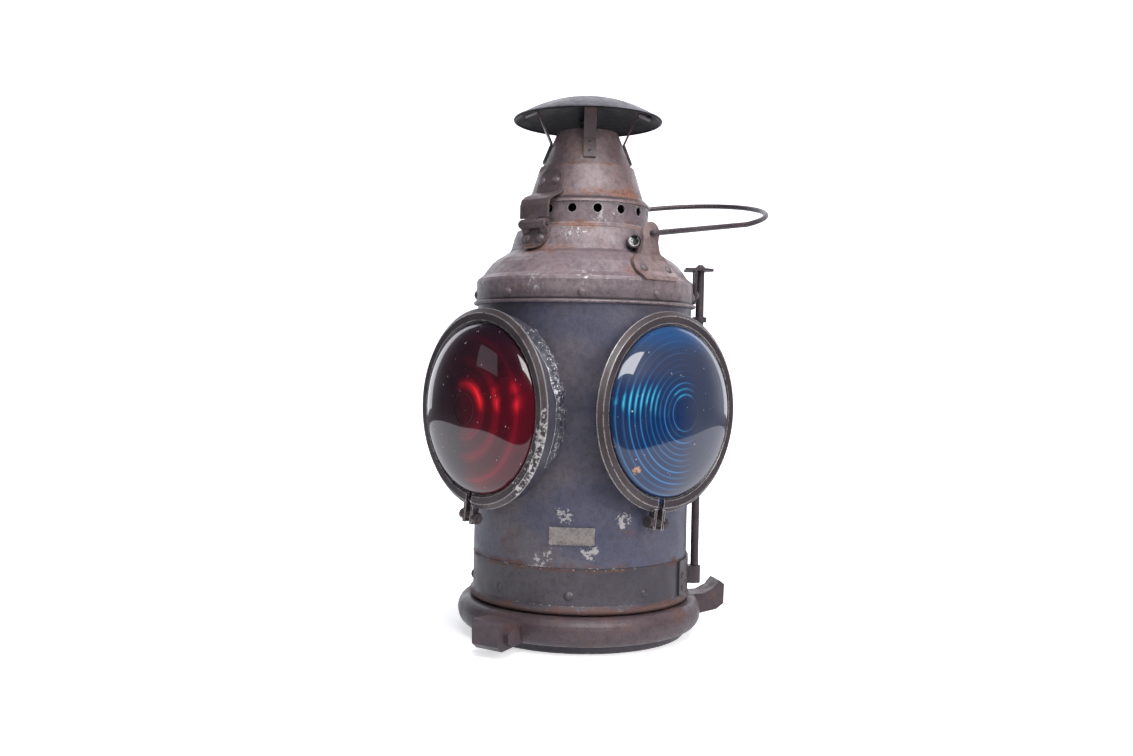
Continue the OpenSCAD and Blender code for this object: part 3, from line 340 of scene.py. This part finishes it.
# Paint that faded in clouds, with grime and fine specks on it
cloud = fade(worn, noise(worn, spot, 16, 5, 0.6), 0.38, 0.64)
body = tint(worn, cloud, given["Paint"], given["Faded Paint"])
dust = noise(worn, spot, 240, 6, 0.7)
grime = times(worn, given["Grime Amount"], fade(worn, dust, 0.42, 0.66))
body = tint(worn, grime, body, grime_colour)
speck = fade(worn, noise(worn, spot, 1500, 3, 0.6), 0.3, 0.75, 0.80, 1.22)
wires = {0: body, "Scale": speck}
body = add(worn, "ShaderNodeVectorMath", wires, operation="SCALE").outputs[0]

# Rust, in two tones
stain = noise(worn, spot, 38, 9, 0.68)
stain = plus(worn, stain, times(worn, given["Extra Rust"], extra_rust))
limit = minus(worn, rust_limit, times(worn, given["Rust Amount"], rust_reach))
rusted = fade(worn, minus(worn, stain, limit), -0.05, 0.10)
mottle = fade(worn, noise(worn, spot, 420, 5, 0.7), 0.35, 0.65)
rust_tone = tint(worn, mottle, given["Rust"], old_rust)
body = tint(worn, times(worn, rusted, rust_cover), body, rust_tone)

# Chips down to the metal, gathered in regions and where extra chips are asked for
region = fade(worn, noise(worn, spot, 11, 3, 0.5), 0.40, 0.62)
region = plus(worn, times(worn, region, 0.08), times(worn, given["Extra Chips"], extra_chips))
chips = plus(worn, noise(worn, spot, 300, 9, 0.72), region)
limit = minus(worn, chip_limit, times(worn, given["Chip Amount"], chip_reach))
chipped = fade(worn, minus(worn, chips, limit), 0.0, 0.025)
body = tint(worn, chipped, body, given["Bare Metal"])

# Rust is rougher than paint, and a chip is smoother and lower
rough = fade(worn, noise(worn, spot, 55, 5, 0.6), 0.3, 0.7, 0.34, 0.52)
rough = plus(worn, rough, times(worn, rusted, 0.28))
rough = minus(worn, rough, times(worn, chipped, 0.08))
height = minus(worn, times(worn, dust, 0.35), times(worn, chipped, 0.6))
height = plus(worn, height, times(worn, noise(worn, spot, 90, 4, 0.6), 0.8))
height = plus(worn, height, times(worn, rusted, times(worn, dust, 0.7)))
fill(worn, out, {"Color": body, "Roughness": rough, "Height": height,
    "Metallic": times(worn, chipped, chip_metallic)})
print("group", worn.name, len(worn.nodes), "nodes")

# %% [markdown]
# ## Edge wear
# Hands and cases rub the paint off the outer edges first. The Bevel node rounds the surface
# normal near an edge, so the difference between that and the true normal marks the edges
# without any painting. Noise breaks the line up.

# %% Group: edge wear
edges, given, out = new_group("edge_wear",
    [("Radius", "Float", 0.001), ("Breakup", "Float", 0.5)], [("Mask", "Float")])
bevel = add(edges, "ShaderNodeBevel", {"Radius": given["Radius"]}, samples=4).outputs[0]
plain = add(edges, "ShaderNodeNewGeometry").outputs["Normal"]
rub = fade(edges, on_vectors(edges, "DOT_PRODUCT", bevel, plain, "Value"), 0.995, 0.90)
spot = place_on_piece(edges)
broken = times(edges, noise(edges, spot, 210, 6, 0.7), given["Breakup"])
fill(edges, out, {"Mask": fade(edges, minus(edges, rub, broken), 0.05, 0.35)})
print("group", edges.name, len(edges.nodes), "nodes")

# %% [markdown]
# ## Bands of rust
# Water runs down the roof and sits on each step, so rust gathers in rings at known heights.
# A band is a soft mask round one height, with a wandering edge. The painted shade in a groove
# or under a lip is a band too, with an edge that doesn't wander.

# %% Group: band at a height
band, given, out = new_group("height_band", [("Height", "Float", 0.1),
    ("Spread", "Float", 0.01), ("Wander", "Float", 0.004)], [("Mask", "Float")])
spot = place_on_piece(band)
shift = times(band, minus(band, noise(band, spot, 26, 5, 0.6), 0.5), given["Wander"])
away = minus(band, plus(band, height_of(band, spot), shift), given["Height"])
share = maths(band, "DIVIDE", maths(band, "ABSOLUTE", away), given["Spread"])
fill(band, out, {"Mask": fade(band, minus(band, 1.0, share, clamp=True), 0.0, 1.0)})
print("group", band.name, len(band.nodes), "nodes")

# %% [markdown]
# ## Patches of flaked paint
# In a few places the paint has flaked to bare metal over an area the size of a coin. A patch
# is a soft ball round a point on the lamp, given to the chips as an extra amount.

# %% Group: patch round a point
patch, given, out = new_group("patch_mask",
    [("Centre", "Vector", (0, 0, 0)), ("Radius", "Float", 0.01)], [("Mask", "Float")])
away = on_vectors(patch, "DISTANCE", place_on_piece(patch), given["Centre"], "Value")
share = maths(patch, "DIVIDE", away, given["Radius"])
fill(patch, out, {"Mask": fade(patch, share, 1.0, 0.2)})
print("group", patch.name, len(patch.nodes), "nodes")

# %% [markdown]
# ## Paint materials
# Each material places the weathered group with its own colours, adds its own bands of rust
# and its edge wear, and feeds one Principled shader and one Bump.

# %% Make a painted material
painted_groove_shade, soot_and_shade_black = (0.014, 0.012, 0.014, 1), (0.012, 0.010, 0.012, 1)


def painted(name, paint, faded, rust, metal, amounts, bands=(), wear=(1.2 * mm, 0.5, 0.6),
        bump=0.5, flakes=(), lines=(), soot_and_shade=0.0, fixed=None):
    """A worn paint. amounts are rust, chips and grime; bands are (height, spread, strength)
    rings of rust; wear is (radius, breakup, strength) at the edges; flakes are (point, radius,
    strength) patches of bare metal; lines are (height, spread, strength) rings of painted shade
    in a groove or under a lip; soot_and_shade darkens what faces down, partly as a sooty film
    and partly as painted shade; fixed are sockets of the shader set to a constant."""
    made, tree, shader = new_material(name)
    coat = add(tree, "ShaderNodeGroup", node_tree=worn)
    for title, colour in zip(("Paint", "Faded Paint", "Rust", "Bare Metal"),
            (paint, faded, rust, metal)):
        coat.inputs[title].default_value = (*colour, 1)
    for title, amount in zip(("Rust Amount", "Chip Amount", "Grime Amount"), amounts):
        coat.inputs[title].default_value = amount

    total = 0.0
    for height, spread, strength in bands:
        wires = {"Height": height, "Spread": spread, "Wander": spread}
        ring = add(tree, "ShaderNodeGroup", wires, node_tree=band)
        total = plus(tree, total, times(tree, ring.outputs["Mask"], strength))
    coat_wires = {"Extra Rust": total} if bands else {}

    radius, breakup, strength = wear
    wires = {"Radius": radius, "Breakup": breakup}
    rubbed = add(tree, "ShaderNodeGroup", wires, node_tree=edges)
    lost = times(tree, rubbed.outputs["Mask"], strength)
    for point, radius, strength in flakes:
        wires = {"Centre": point, "Radius": radius}
        flake = add(tree, "ShaderNodeGroup", wires, node_tree=patch)
        lost = plus(tree, lost, times(tree, flake.outputs["Mask"], strength))
    fill(tree, coat, {"Extra Chips": lost, **coat_wires})

    surface = coat.outputs["Color"]
    # Rings of painted shade: the paint is darkened in grooves and under lips, where shade falls
    for height, spread, strength in lines:
        wires = {"Height": height, "Spread": spread, "Wander": 0.0}
        groove = add(tree, "ShaderNodeGroup", wires, node_tree=band)
        shade_amount = times(tree, groove.outputs["Mask"], strength)
        surface = tint(tree, shade_amount, surface, painted_groove_shade)
    # A sooty film and painted shade together: what faces down is darkened, as the rain cap's
    # underside is
    if soot_and_shade:
        facing = height_of(tree, add(tree, "ShaderNodeNewGeometry").outputs["Normal"])
        surface = tint(tree, fade(tree, facing, 0.1, -0.3, 0.0, soot_and_shade), surface, soot_and_shade_black)
    wires = {"Height": coat.outputs["Height"], "Strength": bump, "Distance": 0.6 * mm}
    relief = add(tree, "ShaderNodeBump", wires)
    fill(tree, shader, {"Base Color": surface, "Roughness": coat.outputs["Roughness"],
        "Metallic": coat.outputs["Metallic"], "Normal": relief.outputs["Normal"],
        **(fixed or {})})
    return made


slate, slate_faded = (0.066, 0.068, 0.106), (0.112, 0.099, 0.114)
mauve, mauve_faded = (0.128, 0.098, 0.108), (0.190, 0.150, 0.156)
dark, dark_faded = (0.034, 0.027, 0.031), (0.062, 0.048, 0.052)
rust_orange, rust_brown = (0.22, 0.095, 0.050), (0.115, 0.055, 0.040)
tin = (0.50, 0.48, 0.47)
bare = {"Metallic": 0.9}

drum_paint = painted("drum_paint", slate, slate_faded, rust_brown, tin, (0.22, 0.22, 0.35),
    bands=[(0.0635, 0.004, 0.5), (0.078, 0.030, 0.30), (0.250, 0.006, 0.3)],
    flakes=[((0.052, -0.066, 0.100), 0.014, 1.15), ((0.078, -0.031, 0.097), 0.012, 1.0),
        ((0.066, -0.052, 0.074), 0.014, 1.0), ((0.038, -0.075, 0.067), 0.014, 1.0),
        ((0.050, -0.0675, 0.077), 0.016, 0.9)])
base_paint = painted("base_paint", (0.040, 0.035, 0.046), (0.070, 0.061, 0.072), rust_brown,
    tin, (0.40, 0.35, 0.45), bands=[(0.031, 0.006, 0.8), (0.0605, 0.003, 0.6)])
roof_paint = painted("roof_paint", mauve, mauve_faded, rust_orange, tin, (0.40, 0.44, 0.45),
    # the strong edge wear is rubbed paint, and also a painted highlight along the roof's bright
    # creased edges
    wear=(1.4 * mm, 0.50, 1.0),
    bands=[(0.275, 0.006, 0.2), (0.296, 0.007, 0.35), (0.3135, 0.006, 0.5)],
    # the lines are painted shade: dark rings at the bead and the steps, and the skirt darker
    # towards its foot
    lines=[(0.2568, 0.0020, 0.90), (0.2600, 0.0060, 0.35), (0.2935, 0.0018, 0.35),
        (0.3115, 0.0016, 0.30)],
    flakes=[((0.0435, -0.022, 0.322), 0.016, 0.75), ((0.0483, 0.007, 0.326), 0.012, 0.6),
        ((0.031, -0.048, 0.309), 0.014, 0.7), ((0.041, -0.039, 0.307), 0.010, 0.6),
        ((0.031, -0.078, 0.268), 0.018, 0.75), ((-0.033, -0.078, 0.264), 0.020, 0.70),
        ((0.060, -0.057, 0.272), 0.016, 0.6)])
cone_paint = painted("cone_paint", (0.118, 0.084, 0.088), (0.180, 0.132, 0.132), rust_orange,
    tin, (0.52, 0.30, 0.45), wear=(1.0 * mm, 0.6, 0.35),
    # the cone's line is a painted shadow under its overhanging lip
    bands=[(0.338, 0.007, 0.5), (0.361, 0.005, 0.45)], lines=[(0.3345, 0.0022, 0.75)])
cup_paint = painted("cup_paint", (0.032, 0.032, 0.048), (0.058, 0.053, 0.064), rust_brown,
    tin, (0.25, 0.25, 0.45))
ring_paint = painted("ring_paint", (0.034, 0.025, 0.028), (0.062, 0.048, 0.050), rust_brown,
    (0.62, 0.60, 0.58), (0.35, 0.24, 0.5), wear=(1.2 * mm, 0.75, 1.5),
    flakes=[((0.0735, -0.101, 0.168), 0.024, 0.95), ((0.066, -0.101, 0.142), 0.026, 1.05),
        ((0.050, -0.101, 0.121), 0.022, 0.85)])
leaf_paint = painted("leaf_paint", (0.066, 0.048, 0.052), (0.100, 0.074, 0.076), rust_brown,
    (0.30, 0.26, 0.24), (0.60, 0.15, 0.4), wear=(1.0 * mm, 0.5, 0.5))
ear_paint = painted("ear_paint", (0.120, 0.085, 0.086), (0.210, 0.155, 0.148), rust_brown,
    (0.36, 0.30, 0.27), (0.60, 0.15, 0.4), wear=(1.0 * mm, 0.5, 0.5))
# The cap's underside is darkened, partly as a sooty film and partly as painted shade
cap_paint = painted("cap_paint", (0.066, 0.064, 0.076), (0.160, 0.158, 0.172), rust_brown,
    (0.34, 0.33, 0.34), (0.30, 0.30, 0.5), soot_and_shade=0.97, fixed={"Specular IOR Level": 0.08})
dark_steel = painted("dark_steel", dark, dark_faded, rust_brown,
    (0.28, 0.25, 0.24), (0.40, 0.12, 0.4), wear=(0.8 * mm, 0.6, 0.4))
cast_iron = painted("cast_iron", (0.046, 0.031, 0.037), (0.076, 0.052, 0.058),
    (0.115, 0.058, 0.046), (0.26, 0.22, 0.21), (0.55, 0.10, 0.5), wear=(2.0 * mm, 0.6, 0.3),
    bump=0.9)
rivet_paint = painted("rivet_paint", (0.078, 0.060, 0.066), (0.135, 0.108, 0.112), rust_brown,
    tin, (0.45, 0.15, 0.5), wear=(0.8 * mm, 0.6, 0.15))
tinned_steel = painted("tinned_steel", (0.26, 0.25, 0.24), (0.34, 0.33, 0.31), rust_brown,
    (0.45, 0.44, 0.42), (0.30, 0.20, 0.3), fixed=bare)
brass = painted("burner_brass", (0.28, 0.19, 0.075), (0.38, 0.27, 0.11), (0.10, 0.07, 0.03),
    (0.55, 0.42, 0.20), (0.30, 0.20, 0.3), fixed=bare)
bright_wire = painted("bright_wire", (0.62, 0.60, 0.55), (0.75, 0.73, 0.68), rust_brown,
    (0.8, 0.78, 0.74), (0.1, 0.1, 0.1), fixed=bare)
plate_metal = painted("plate_metal", (0.20, 0.18, 0.165), (0.36, 0.33, 0.30), rust_brown,
    (0.52, 0.50, 0.46), (0.35, 0.6, 0.5))
print("painted and metal finishes ready")

# %% [markdown]
# ## Cork, wick and clear glass
# The gaskets are cork, the wick is woven cotton and the burner's chimney is plain glass.
# The wick's weave is two waves across each other, and its top is charred by the flame.

# %% Cork, cotton and clear glass
cork_dark, cork_pale = (0.05, 0.035, 0.028, 1), (0.13, 0.09, 0.06, 1)
thread_dark, thread_pale = (0.42, 0.36, 0.27, 1), (0.68, 0.62, 0.50, 1)
char_black, char_from, char_full = (0.02, 0.018, 0.016, 1), 0.150, 0.157
glass_clean, glass_sooty = (0.95, 0.97, 0.97, 1), (0.70, 0.70, 0.66, 1)

cork, tree, shader = new_material("gasket_cork")
grain = fade(tree, noise(tree, place_on_piece(tree), 500, 6, 0.7), 0.35, 0.65)
fill(tree, shader, {"Base Color": tint(tree, grain, cork_dark, cork_pale), "Roughness": 0.9})

cotton, tree, shader = new_material("wick_cotton")
spot = place_on_piece(tree)
weft, warp = [add(tree, "ShaderNodeTexWave", {"Vector": spot, "Scale": scale, "Distortion": 1.0},
    bands_direction=direction).outputs["Color"] for direction, scale in (("X", 260), ("Z", 200))]
threads = tint(tree, 0.5, weft, warp)
cloth = tint(tree, threads, thread_dark, thread_pale)
charred = fade(tree, height_of(tree, spot), char_from, char_full)
wires = {"Height": threads, "Strength": 0.6, "Distance": 0.4 * mm}
relief = add(tree, "ShaderNodeBump", wires).outputs["Normal"]
fill(tree, shader, {"Base Color": tint(tree, charred, cloth, char_black), "Normal": relief,
    "Roughness": 0.95})

clear_glass, tree, shader = new_material("clear_glass")
haze = fade(tree, noise(tree, place_on_piece(tree), 60, 5, 0.6), 0.3, 0.7, 0.02, 0.14)
fill(tree, shader, {"Base Color": tint(tree, haze, glass_clean, glass_sooty),
    "Roughness": haze, "Transmission Weight": 0.95, "IOR": 1.46})
print("cork, cotton and clear glass ready")

# %% [markdown]
# ## The coloured lenses
# A marker lens is a Fresnel lens pressed in coloured glass: smooth and domed outside, cut into
# rings inside, so that it throws the flame's light out in a beam. One way to show this is to
# trace light through real prisms, which is slow and speckled. Here the base layer of the shader
# carries the ring steps as a bump, and the clear coat on top stays smooth. The coat reflects
# the room as the polished outer face does. The light and shade in the glass are painted: its
# colour is painted darker on the shaded side and lighter where the light gathers, on one side
# below the top, and the rings glow there with painted light and painted glints, given off as
# emission, weak on the shaded side and strong where the light gathers.

# %% Group: lens rings
lens_height = 0.1755
ring_start, ring_soft = 11 * mm, 0.5 * mm
rings, given, out = new_group("lens_rings", [("Centre", "Vector", (0, 0, lens_height)),
    ("Across", "Vector", (1, 0, 1)), ("Side", "Vector", (1, 0, 0)), ("Pitch", "Float", 0.0048)],
    [(title, "Float") for title in ("Height", "Line", "Radius", "Side", "Up")])
local = on_vectors(rings, "SUBTRACT", place_on_piece(rings), given["Centre"])
flat = on_vectors(rings, "MULTIPLY", local, given["Across"])
radius = on_vectors(rings, "LENGTH", flat, gives="Value")
side = on_vectors(rings, "DOT_PRODUCT", flat, given["Side"], "Value")
turns = maths(rings, "DIVIDE", minus(rings, radius, ring_start), given["Pitch"])
wave = maths(rings, "FRACT", turns)
outer = fade(rings, radius, ring_start - ring_soft, ring_start + ring_soft)
from_line = maths(rings, "ABSOLUTE", minus(rings, wave, 0.5))
line = minus(rings, 1.0, times(rings, from_line, 2.0))
fill(rings, out, {"Height": times(rings, minus(rings, 1.0, wave), outer), "Radius": radius,
    "Line": times(rings, line, outer), "Side": side, "Up": height_of(rings, flat)})
print("group", rings.name, len(rings.nodes), "nodes")

# %% Make a coloured glass
chip_radius, chip_colour = 7.5 * mm, (0.36, 0.19, 0.09, 1)
grit_colour, no_light = (0.42, 0.38, 0.38, 1), (0, 0, 0, 1)
shade_side, light_side = -14 * mm, 10 * mm
shade_up, light_up, shade_share = 34 * mm, 12 * mm, 0.14
top_shading_from, top_shading_full = 40 * mm, 58 * mm
glint_up, glint_reach, glint_power = 10 * mm, 14 * mm, 3.0


def signal_glass(name, across, side, pitch, sharp, faint, tones, chip=None):
    """Coloured glass whose rings are centred on a lens. across keeps the two axes that the
    rings lie in, and side points to where the painted light gathers. sharp thins the ring lines,
    and faint is what shows of them on the painted shaded side. tones are the body's painted
    shade, its painted lit tone, its painted top_shading, the painted light in the rings and the
    painted glints; chip is where a flake is off."""
    shaded, lit, top_shading, painted_ring_light, painted_glint = [(*tone, 1) for tone in tones]
    made, tree, shader = new_material(name)
    wires = {"Across": across, "Side": side, "Pitch": pitch}
    ring = add(tree, "ShaderNodeGroup", wires, node_tree=rings).outputs
    spot = place_on_piece(tree)
    wobble = noise(tree, spot, 45, 3, 0.5)

    # Painted light and shade in the body's colour: a shaded tone, a lit tone, and painted
    # shading at the top
    lean = fade(tree, ring["Side"], shade_side, light_side)
    lowered = fade(tree, ring["Up"], shade_up, light_up, shade_share, 1.0)
    gathered = times(tree, lean, lowered)
    body = times(tree, gathered, fade(tree, wobble, 0.3, 0.7, 0.7, 1.1))
    base = tint(tree, body, shaded, lit)
    base = tint(tree, fade(tree, ring["Up"], top_shading_from, top_shading_full), base, top_shading)
    if chip:
        wires = {"Centre": chip, "Radius": chip_radius}
        flaw = add(tree, "ShaderNodeGroup", wires, node_tree=patch).outputs["Mask"]
        ragged = plus(tree, times(tree, flaw, 0.5), noise(tree, spot, 260, 5, 0.7))
        base = tint(tree, fade(tree, ragged, 0.92, 0.96), base, chip_colour)
    grit = fade(tree, noise(tree, spot, 330, 2, 0.5), 0.735, 0.76)
    base = tint(tree, grit, base, grit_colour)

    # Painted light in the rings, and painted glints along one band, given off as emission
    outwards = add(tree, "ShaderNodeCombineXYZ", {0: ring["Radius"]}).outputs[0]
    uneven = fade(tree, noise(tree, outwards, 260, 2, 0.6), 0.38, 0.60, 0.05, 1.0)
    arcs = times(tree, maths(tree, "POWER", ring["Line"], sharp), uneven)
    shown = plus(tree, times(tree, gathered, 0.9), faint)
    glow = tint(tree, times(tree, arcs, shown, clamp=True), no_light, painted_ring_light)
    off_band = maths(tree, "ABSOLUTE", minus(tree, ring["Up"], glint_up))
    near_band = fade(tree, off_band, glint_reach, 1 * mm)
    glints = times(tree, maths(tree, "POWER", ring["Line"], glint_power), near_band)
    sparse = times(tree, gathered, fade(tree, wobble, 0.42, 0.60))
    glow = tint(tree, times(tree, glints, sparse, clamp=True), glow, painted_glint)

    wires = {"Height": ring["Height"], "Strength": 0.5, "Distance": 1.5 * mm}
    relief = add(tree, "ShaderNodeBump", wires).outputs["Normal"]
    fill(tree, shader, {"Base Color": base, "Emission Color": glow, "Emission Strength": 1.0,
        "Normal": relief, "Roughness": 0.30, "IOR": 1.2, "Coat Weight": 1.0,
        "Coat Roughness": 0.015, "Coat IOR": 1.7})
    return made


# The tones are painted light and shade: shaded body, lit body, top_shading, light in the rings,
# glints
red_tones = ((0.017, 0.003, 0.007), (0.065, 0.001, 0.006), (0.010, 0.003, 0.007),
    (0.15, 0.001, 0.008), (0.95, 0.02, 0.03))
blue_tones = ((0.026, 0.033, 0.060), (0.002, 0.018, 0.070), (0.014, 0.046, 0.120),
    (0.045, 0.270, 0.600), (0.10, 0.70, 0.95))
red_rings = (0.0165, 2.0, 0.03, red_tones)
blue_rings = (0.0043, 5.0, 0.03, blue_tones)
facing_y = ((1, 0, 1), (1, 0, 0))
facing_x = ((0, 1, 1), (0, -1, 0))
blue_chip = (0.1004, -0.0405, 0.1355)
lens_glass = {
    "lens_front": (0, signal_glass("red_glass", *facing_y, *red_rings)),
    "lens_right": (90, signal_glass("blue_glass", *facing_x, *blue_rings, chip=blue_chip)),
    "lens_rear": (180, signal_glass("blue_glass_rear", *facing_y, *blue_rings)),
    "lens_left": (270, signal_glass("blue_glass_left", *facing_x, *blue_rings))}
print("red and blue glass ready")

# %% [markdown]
# ## Spinning a lens
# A pressed lens is a body of revolution, so its section is drawn once, half of it, and spun
# round the lens's own axis. The front is one smooth dome. The back steps in rings: each
# prism has a sloping face and a short riser. The points that meet at the poles are merged.

# %% Spin helper and the four lenses
merge_within = 0.02 * mm


def finish_piece(name, shape, material, body, turn, angle):
    """Turns a bmesh about the lamp's axis and makes it a smooth shaded piece riding on a body.
    Edges sharper than the angle stay sharp."""
    bmesh.ops.remove_doubles(shape, verts=shape.verts, dist=merge_within)
    turned = Matrix.Rotation(math.radians(turn), 3, "Z")
    bmesh.ops.rotate(shape, verts=shape.verts, cent=(0, 0, 0), matrix=turned)
    bmesh.ops.recalc_face_normals(shape, faces=shape.faces)
    data = bpy.data.meshes.new(name)
    shape.to_mesh(data)
    shape.free()
    for face in data.polygons:
        face.use_smooth = True
    data.set_sharp_from_angle(angle=math.radians(angle))
    data.materials.append(material)
    piece = bpy.data.objects.new(name, data)
    scene.collection.objects.link(piece)
    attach(piece, body)
    return piece


def spun(section, centre, axis, steps):
    """Spins a pole-to-pole section of points round an axis."""
    shape = bmesh.new()
    points = [shape.verts.new(point) for point in section]
    lines = [shape.edges.new(pair) for pair in zip(points, points[1:])]
    bmesh.ops.spin(shape, geom=points + lines, cent=centre, axis=axis, dvec=(0, 0, 0),
        angle=math.tau, steps=steps, use_merge=True, use_duplicate=False)
    return shape


sight, edge, front, rise = 62.85 * mm, 67.45 * mm, 92.9 * mm, 15.9 * mm
dome_power = 2.4
eye, last, flange, ledge = 14 * mm, 57.2 * mm, 3.6 * mm, 1 * mm
crest_depth, root_depth, eye_depth = 5.1 * mm, 9.4 * mm, 9.9 * mm
riser_lean = 0.3 * mm
prisms, arc_steps, eye_steps, spin_steps = 10, 40, 5, 128
sharp_angle = 14
stands_out = {"lens_front": 9.0 * mm}


def dome(radius, depth=0.0):
    """How far the lens's face stands out from the lamp's axis, less a depth."""
    return front + rise * math.sqrt(max(0.0, 1 - (radius / sight) ** dome_power)) - depth


section = [(0, dome(0))]
for i in range(arc_steps - 1, -1, -1):
    radius = sight * math.cos(math.pi / 2 * i / arc_steps)
    section.append((radius, dome(radius)))
section += [(edge, front), (edge, front - flange), (last + ledge, front - flange)]
prism_pitch = (last - eye) / prisms
for i in range(prisms - 1, -1, -1):
    near_r, far_r = eye + i * prism_pitch, eye + (i + 1) * prism_pitch
    section.append((far_r, dome(far_r, crest_depth)))
    section.append((near_r + riser_lean, dome(near_r, root_depth)))
for i in range(eye_steps, -1, -1):
    radius = eye * i / eye_steps
    section.append((radius, dome(radius, eye_depth)))

for node, (turn, glass) in lens_glass.items():
    out_more = stands_out.get(node, 0.0)
    points = [(r, -u - out_more, lens_height) for r, u in section]
    shape = spun(points, (0, 0, lens_height), (0, 1, 0), spin_steps)
    piece = finish_piece(node + "_glass", shape, glass, "root", turn, sharp_angle)
    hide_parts(node)
    print(piece.name, len(piece.data.polygons), "faces")

# %% [markdown]
# ## The lump of solder
# The red lens's cup was knocked and soldered back, and a crumpled lump of bright solder was
# left where its right side meets the drum. A flat grid is laid from the cup's wall over its
# corner and across the crevice to the drum, then lifted by noise that fades out at the grid's
# edges. A thickness is given last, so it is a closed lump.

# %% Solder beside the red lens
cup_r, cup_u, cup_slope, drum_r = 69.7 * mm, 87.0 * mm, 1.2326, 84 * mm
skin, solder_t, solder_wear = 0.1 * mm, 0.4 * mm, 0.6 * mm
solder_from, solder_sweep, solder_sharp = -34, 96, 40
along_steps, across_steps, corner_share, halvings = 200, 44, 0.35, 40
# In millimetres: where the grid starts, how much further out it starts at its upper end, how
# far it reaches out on the drum, how much both wander, and how the noise lifts it
start_u, widening, start_wander = 90.0, 7.0, 1.5
foot_reach, foot_wander = 3.5, 3.0
base_lift, lump_lift, sunk = 0.5, 2.2, 0.2
# The noise's scale and shift, and how fast the lift fades in from the grid's edges
lump_scale, lump_shift, fade_along, fade_across = 240, 0.15, 12, 6


def drum_foot(angle, reach):
    """A point on the drum, a little way out from the joint of the cup's cone and the drum. The
    joint is found by halving the stretch of the lens's axis that it must lie on."""
    low, high = 0.0, drum_r
    for _ in range(halvings):
        u = (low + high) / 2
        radius = cup_r - (cup_u - u) * cup_slope
        within = math.hypot(u, radius * math.cos(angle)) < drum_r
        low, high = (u, high) if within else (low, u)
    turn = math.atan2(radius * math.cos(angle), u) + reach / drum_r
    height = lens_height + radius * math.sin(angle)
    return Vector((drum_r * math.sin(turn), -drum_r * math.cos(turn), height))


solder = bmesh.new()
bmesh.ops.create_grid(solder, x_segments=along_steps, y_segments=across_steps, size=1.0)
for vert in solder.verts:
    share, across = (vert.co.x + 1) / 2, (vert.co.y + 1) / 2
    angle = math.radians(solder_from + solder_sweep * share)
    wave = hills.noise(Vector((share * 9, 2.5, 0)))
    radial = Vector((math.cos(angle), 0, math.sin(angle)))

    # Across the grid: down the cup's wall to its corner, then over the crevice to the drum
    widened = min(1.0, max(0.0, share * 2.2 - 0.9))
    start = (start_u + widening * widened + start_wander * wave) * mm
    rim = Vector((0, -start, lens_height)) + radial * (cup_r + skin)
    corner = Vector((0, -cup_u, lens_height)) + radial * (cup_r + skin)
    foot = drum_foot(angle, (foot_reach + foot_wander * wave) * mm)
    if across < corner_share:
        place = rim.lerp(corner, across / corner_share)
    else:
        place = corner.lerp(foot, (across - corner_share) / (1 - corner_share))

    # The lift: away from the cup's wall, and further on away from its cone
    from_cone = Vector((0.78 * radial.x, 0.62, 0.78 * radial.z))
    outward = radial.lerp(from_cone, min(1.0, across / 0.5))
    near_end = min(1.0, fade_along * min(share, 1 - share))
    edge_fade = near_end * min(1.0, fade_across * min(across, 1 - across))
    lumps = hills.fractal(place * lump_scale, 0.8, 2.2, 4)
    lift = (base_lift + lump_lift * max(0.0, lumps + lump_shift)) * edge_fade - sunk
    vert.co = place + outward * lift * mm
bmesh.ops.recalc_face_normals(solder, faces=solder.faces)
bmesh.ops.solidify(solder, geom=solder.faces[:], thickness=solder_t)
# The solder's dark coat is painted shade, as in the crevice round it; its bright chips are bare
# solder
solder_and_crevice_shade = painted("solder_and_crevice_shade", (0.026, 0.027, 0.038), (0.060, 0.060, 0.076),
    (0.08, 0.06, 0.06), (0.95, 0.95, 1.0), (0.10, 1.15, 0.45),
    wear=(solder_wear, 0.5, 0.9), bump=1.0)
lump = finish_piece("solder_lump", solder, solder_and_crevice_shade, "root", 0.0, solder_sharp)
print(lump.name, len(lump.data.polygons), "faces")

# %% [markdown]
# ## Dressing the frame
# The other shapes are right as they come from CAD, so each node only gets its material.

# %% Materials for the CAD nodes
def dress(material, *names):
    """Puts a material on CAD nodes."""
    for name in names:
        slots = nodes[name].data.materials
        slots.clear()
        slots.append(material)


sides = ("front", "right", "rear", "left")
dress(base_paint, "base_pan", "lower_band", "band_rivets")
dress(drum_paint, "drum")
dress(roof_paint, "roof")
dress(cone_paint, "cone_lower", "cone_upper")
dress(rivet_paint, "skirt_rivets", "bracket_rivets", "top_rivets")
dress(cap_paint, "rain_cap")
dress(ring_paint, *["lens_ring_" + side for side in sides])
dress(cup_paint, *["lens_cup_" + side for side in sides])
dress(ear_paint, "bail_ear_right", "bail_ear_left")
dress(leaf_paint, "hinge_lower_leaf", "hinge_upper_leaf", "lift_tab", "cap_straps")
dress(dark_steel, "clamp_bolts", "clamp_nuts", "bail", "peep_tube", "rod_bracket",
    "rod_foot_plate", "lock_rod", "rod_collar", "strap_rivets", "hinge_pin")
dress(cast_iron, "swivel_ring", "ring_bolt", "ring_nut")
dress(plate_metal, "nameplate")
dress(bright_wire, "peep_ring")
dress(clear_glass, "peep_glass", "burner_glass")
dress(cork, "lens_gaskets")
dress(tinned_steel, "fount", "fount_springs")
dress(brass, "filler_cap", "burner", "burner_deflector", "wick_spindle")
dress(cotton, "wick")
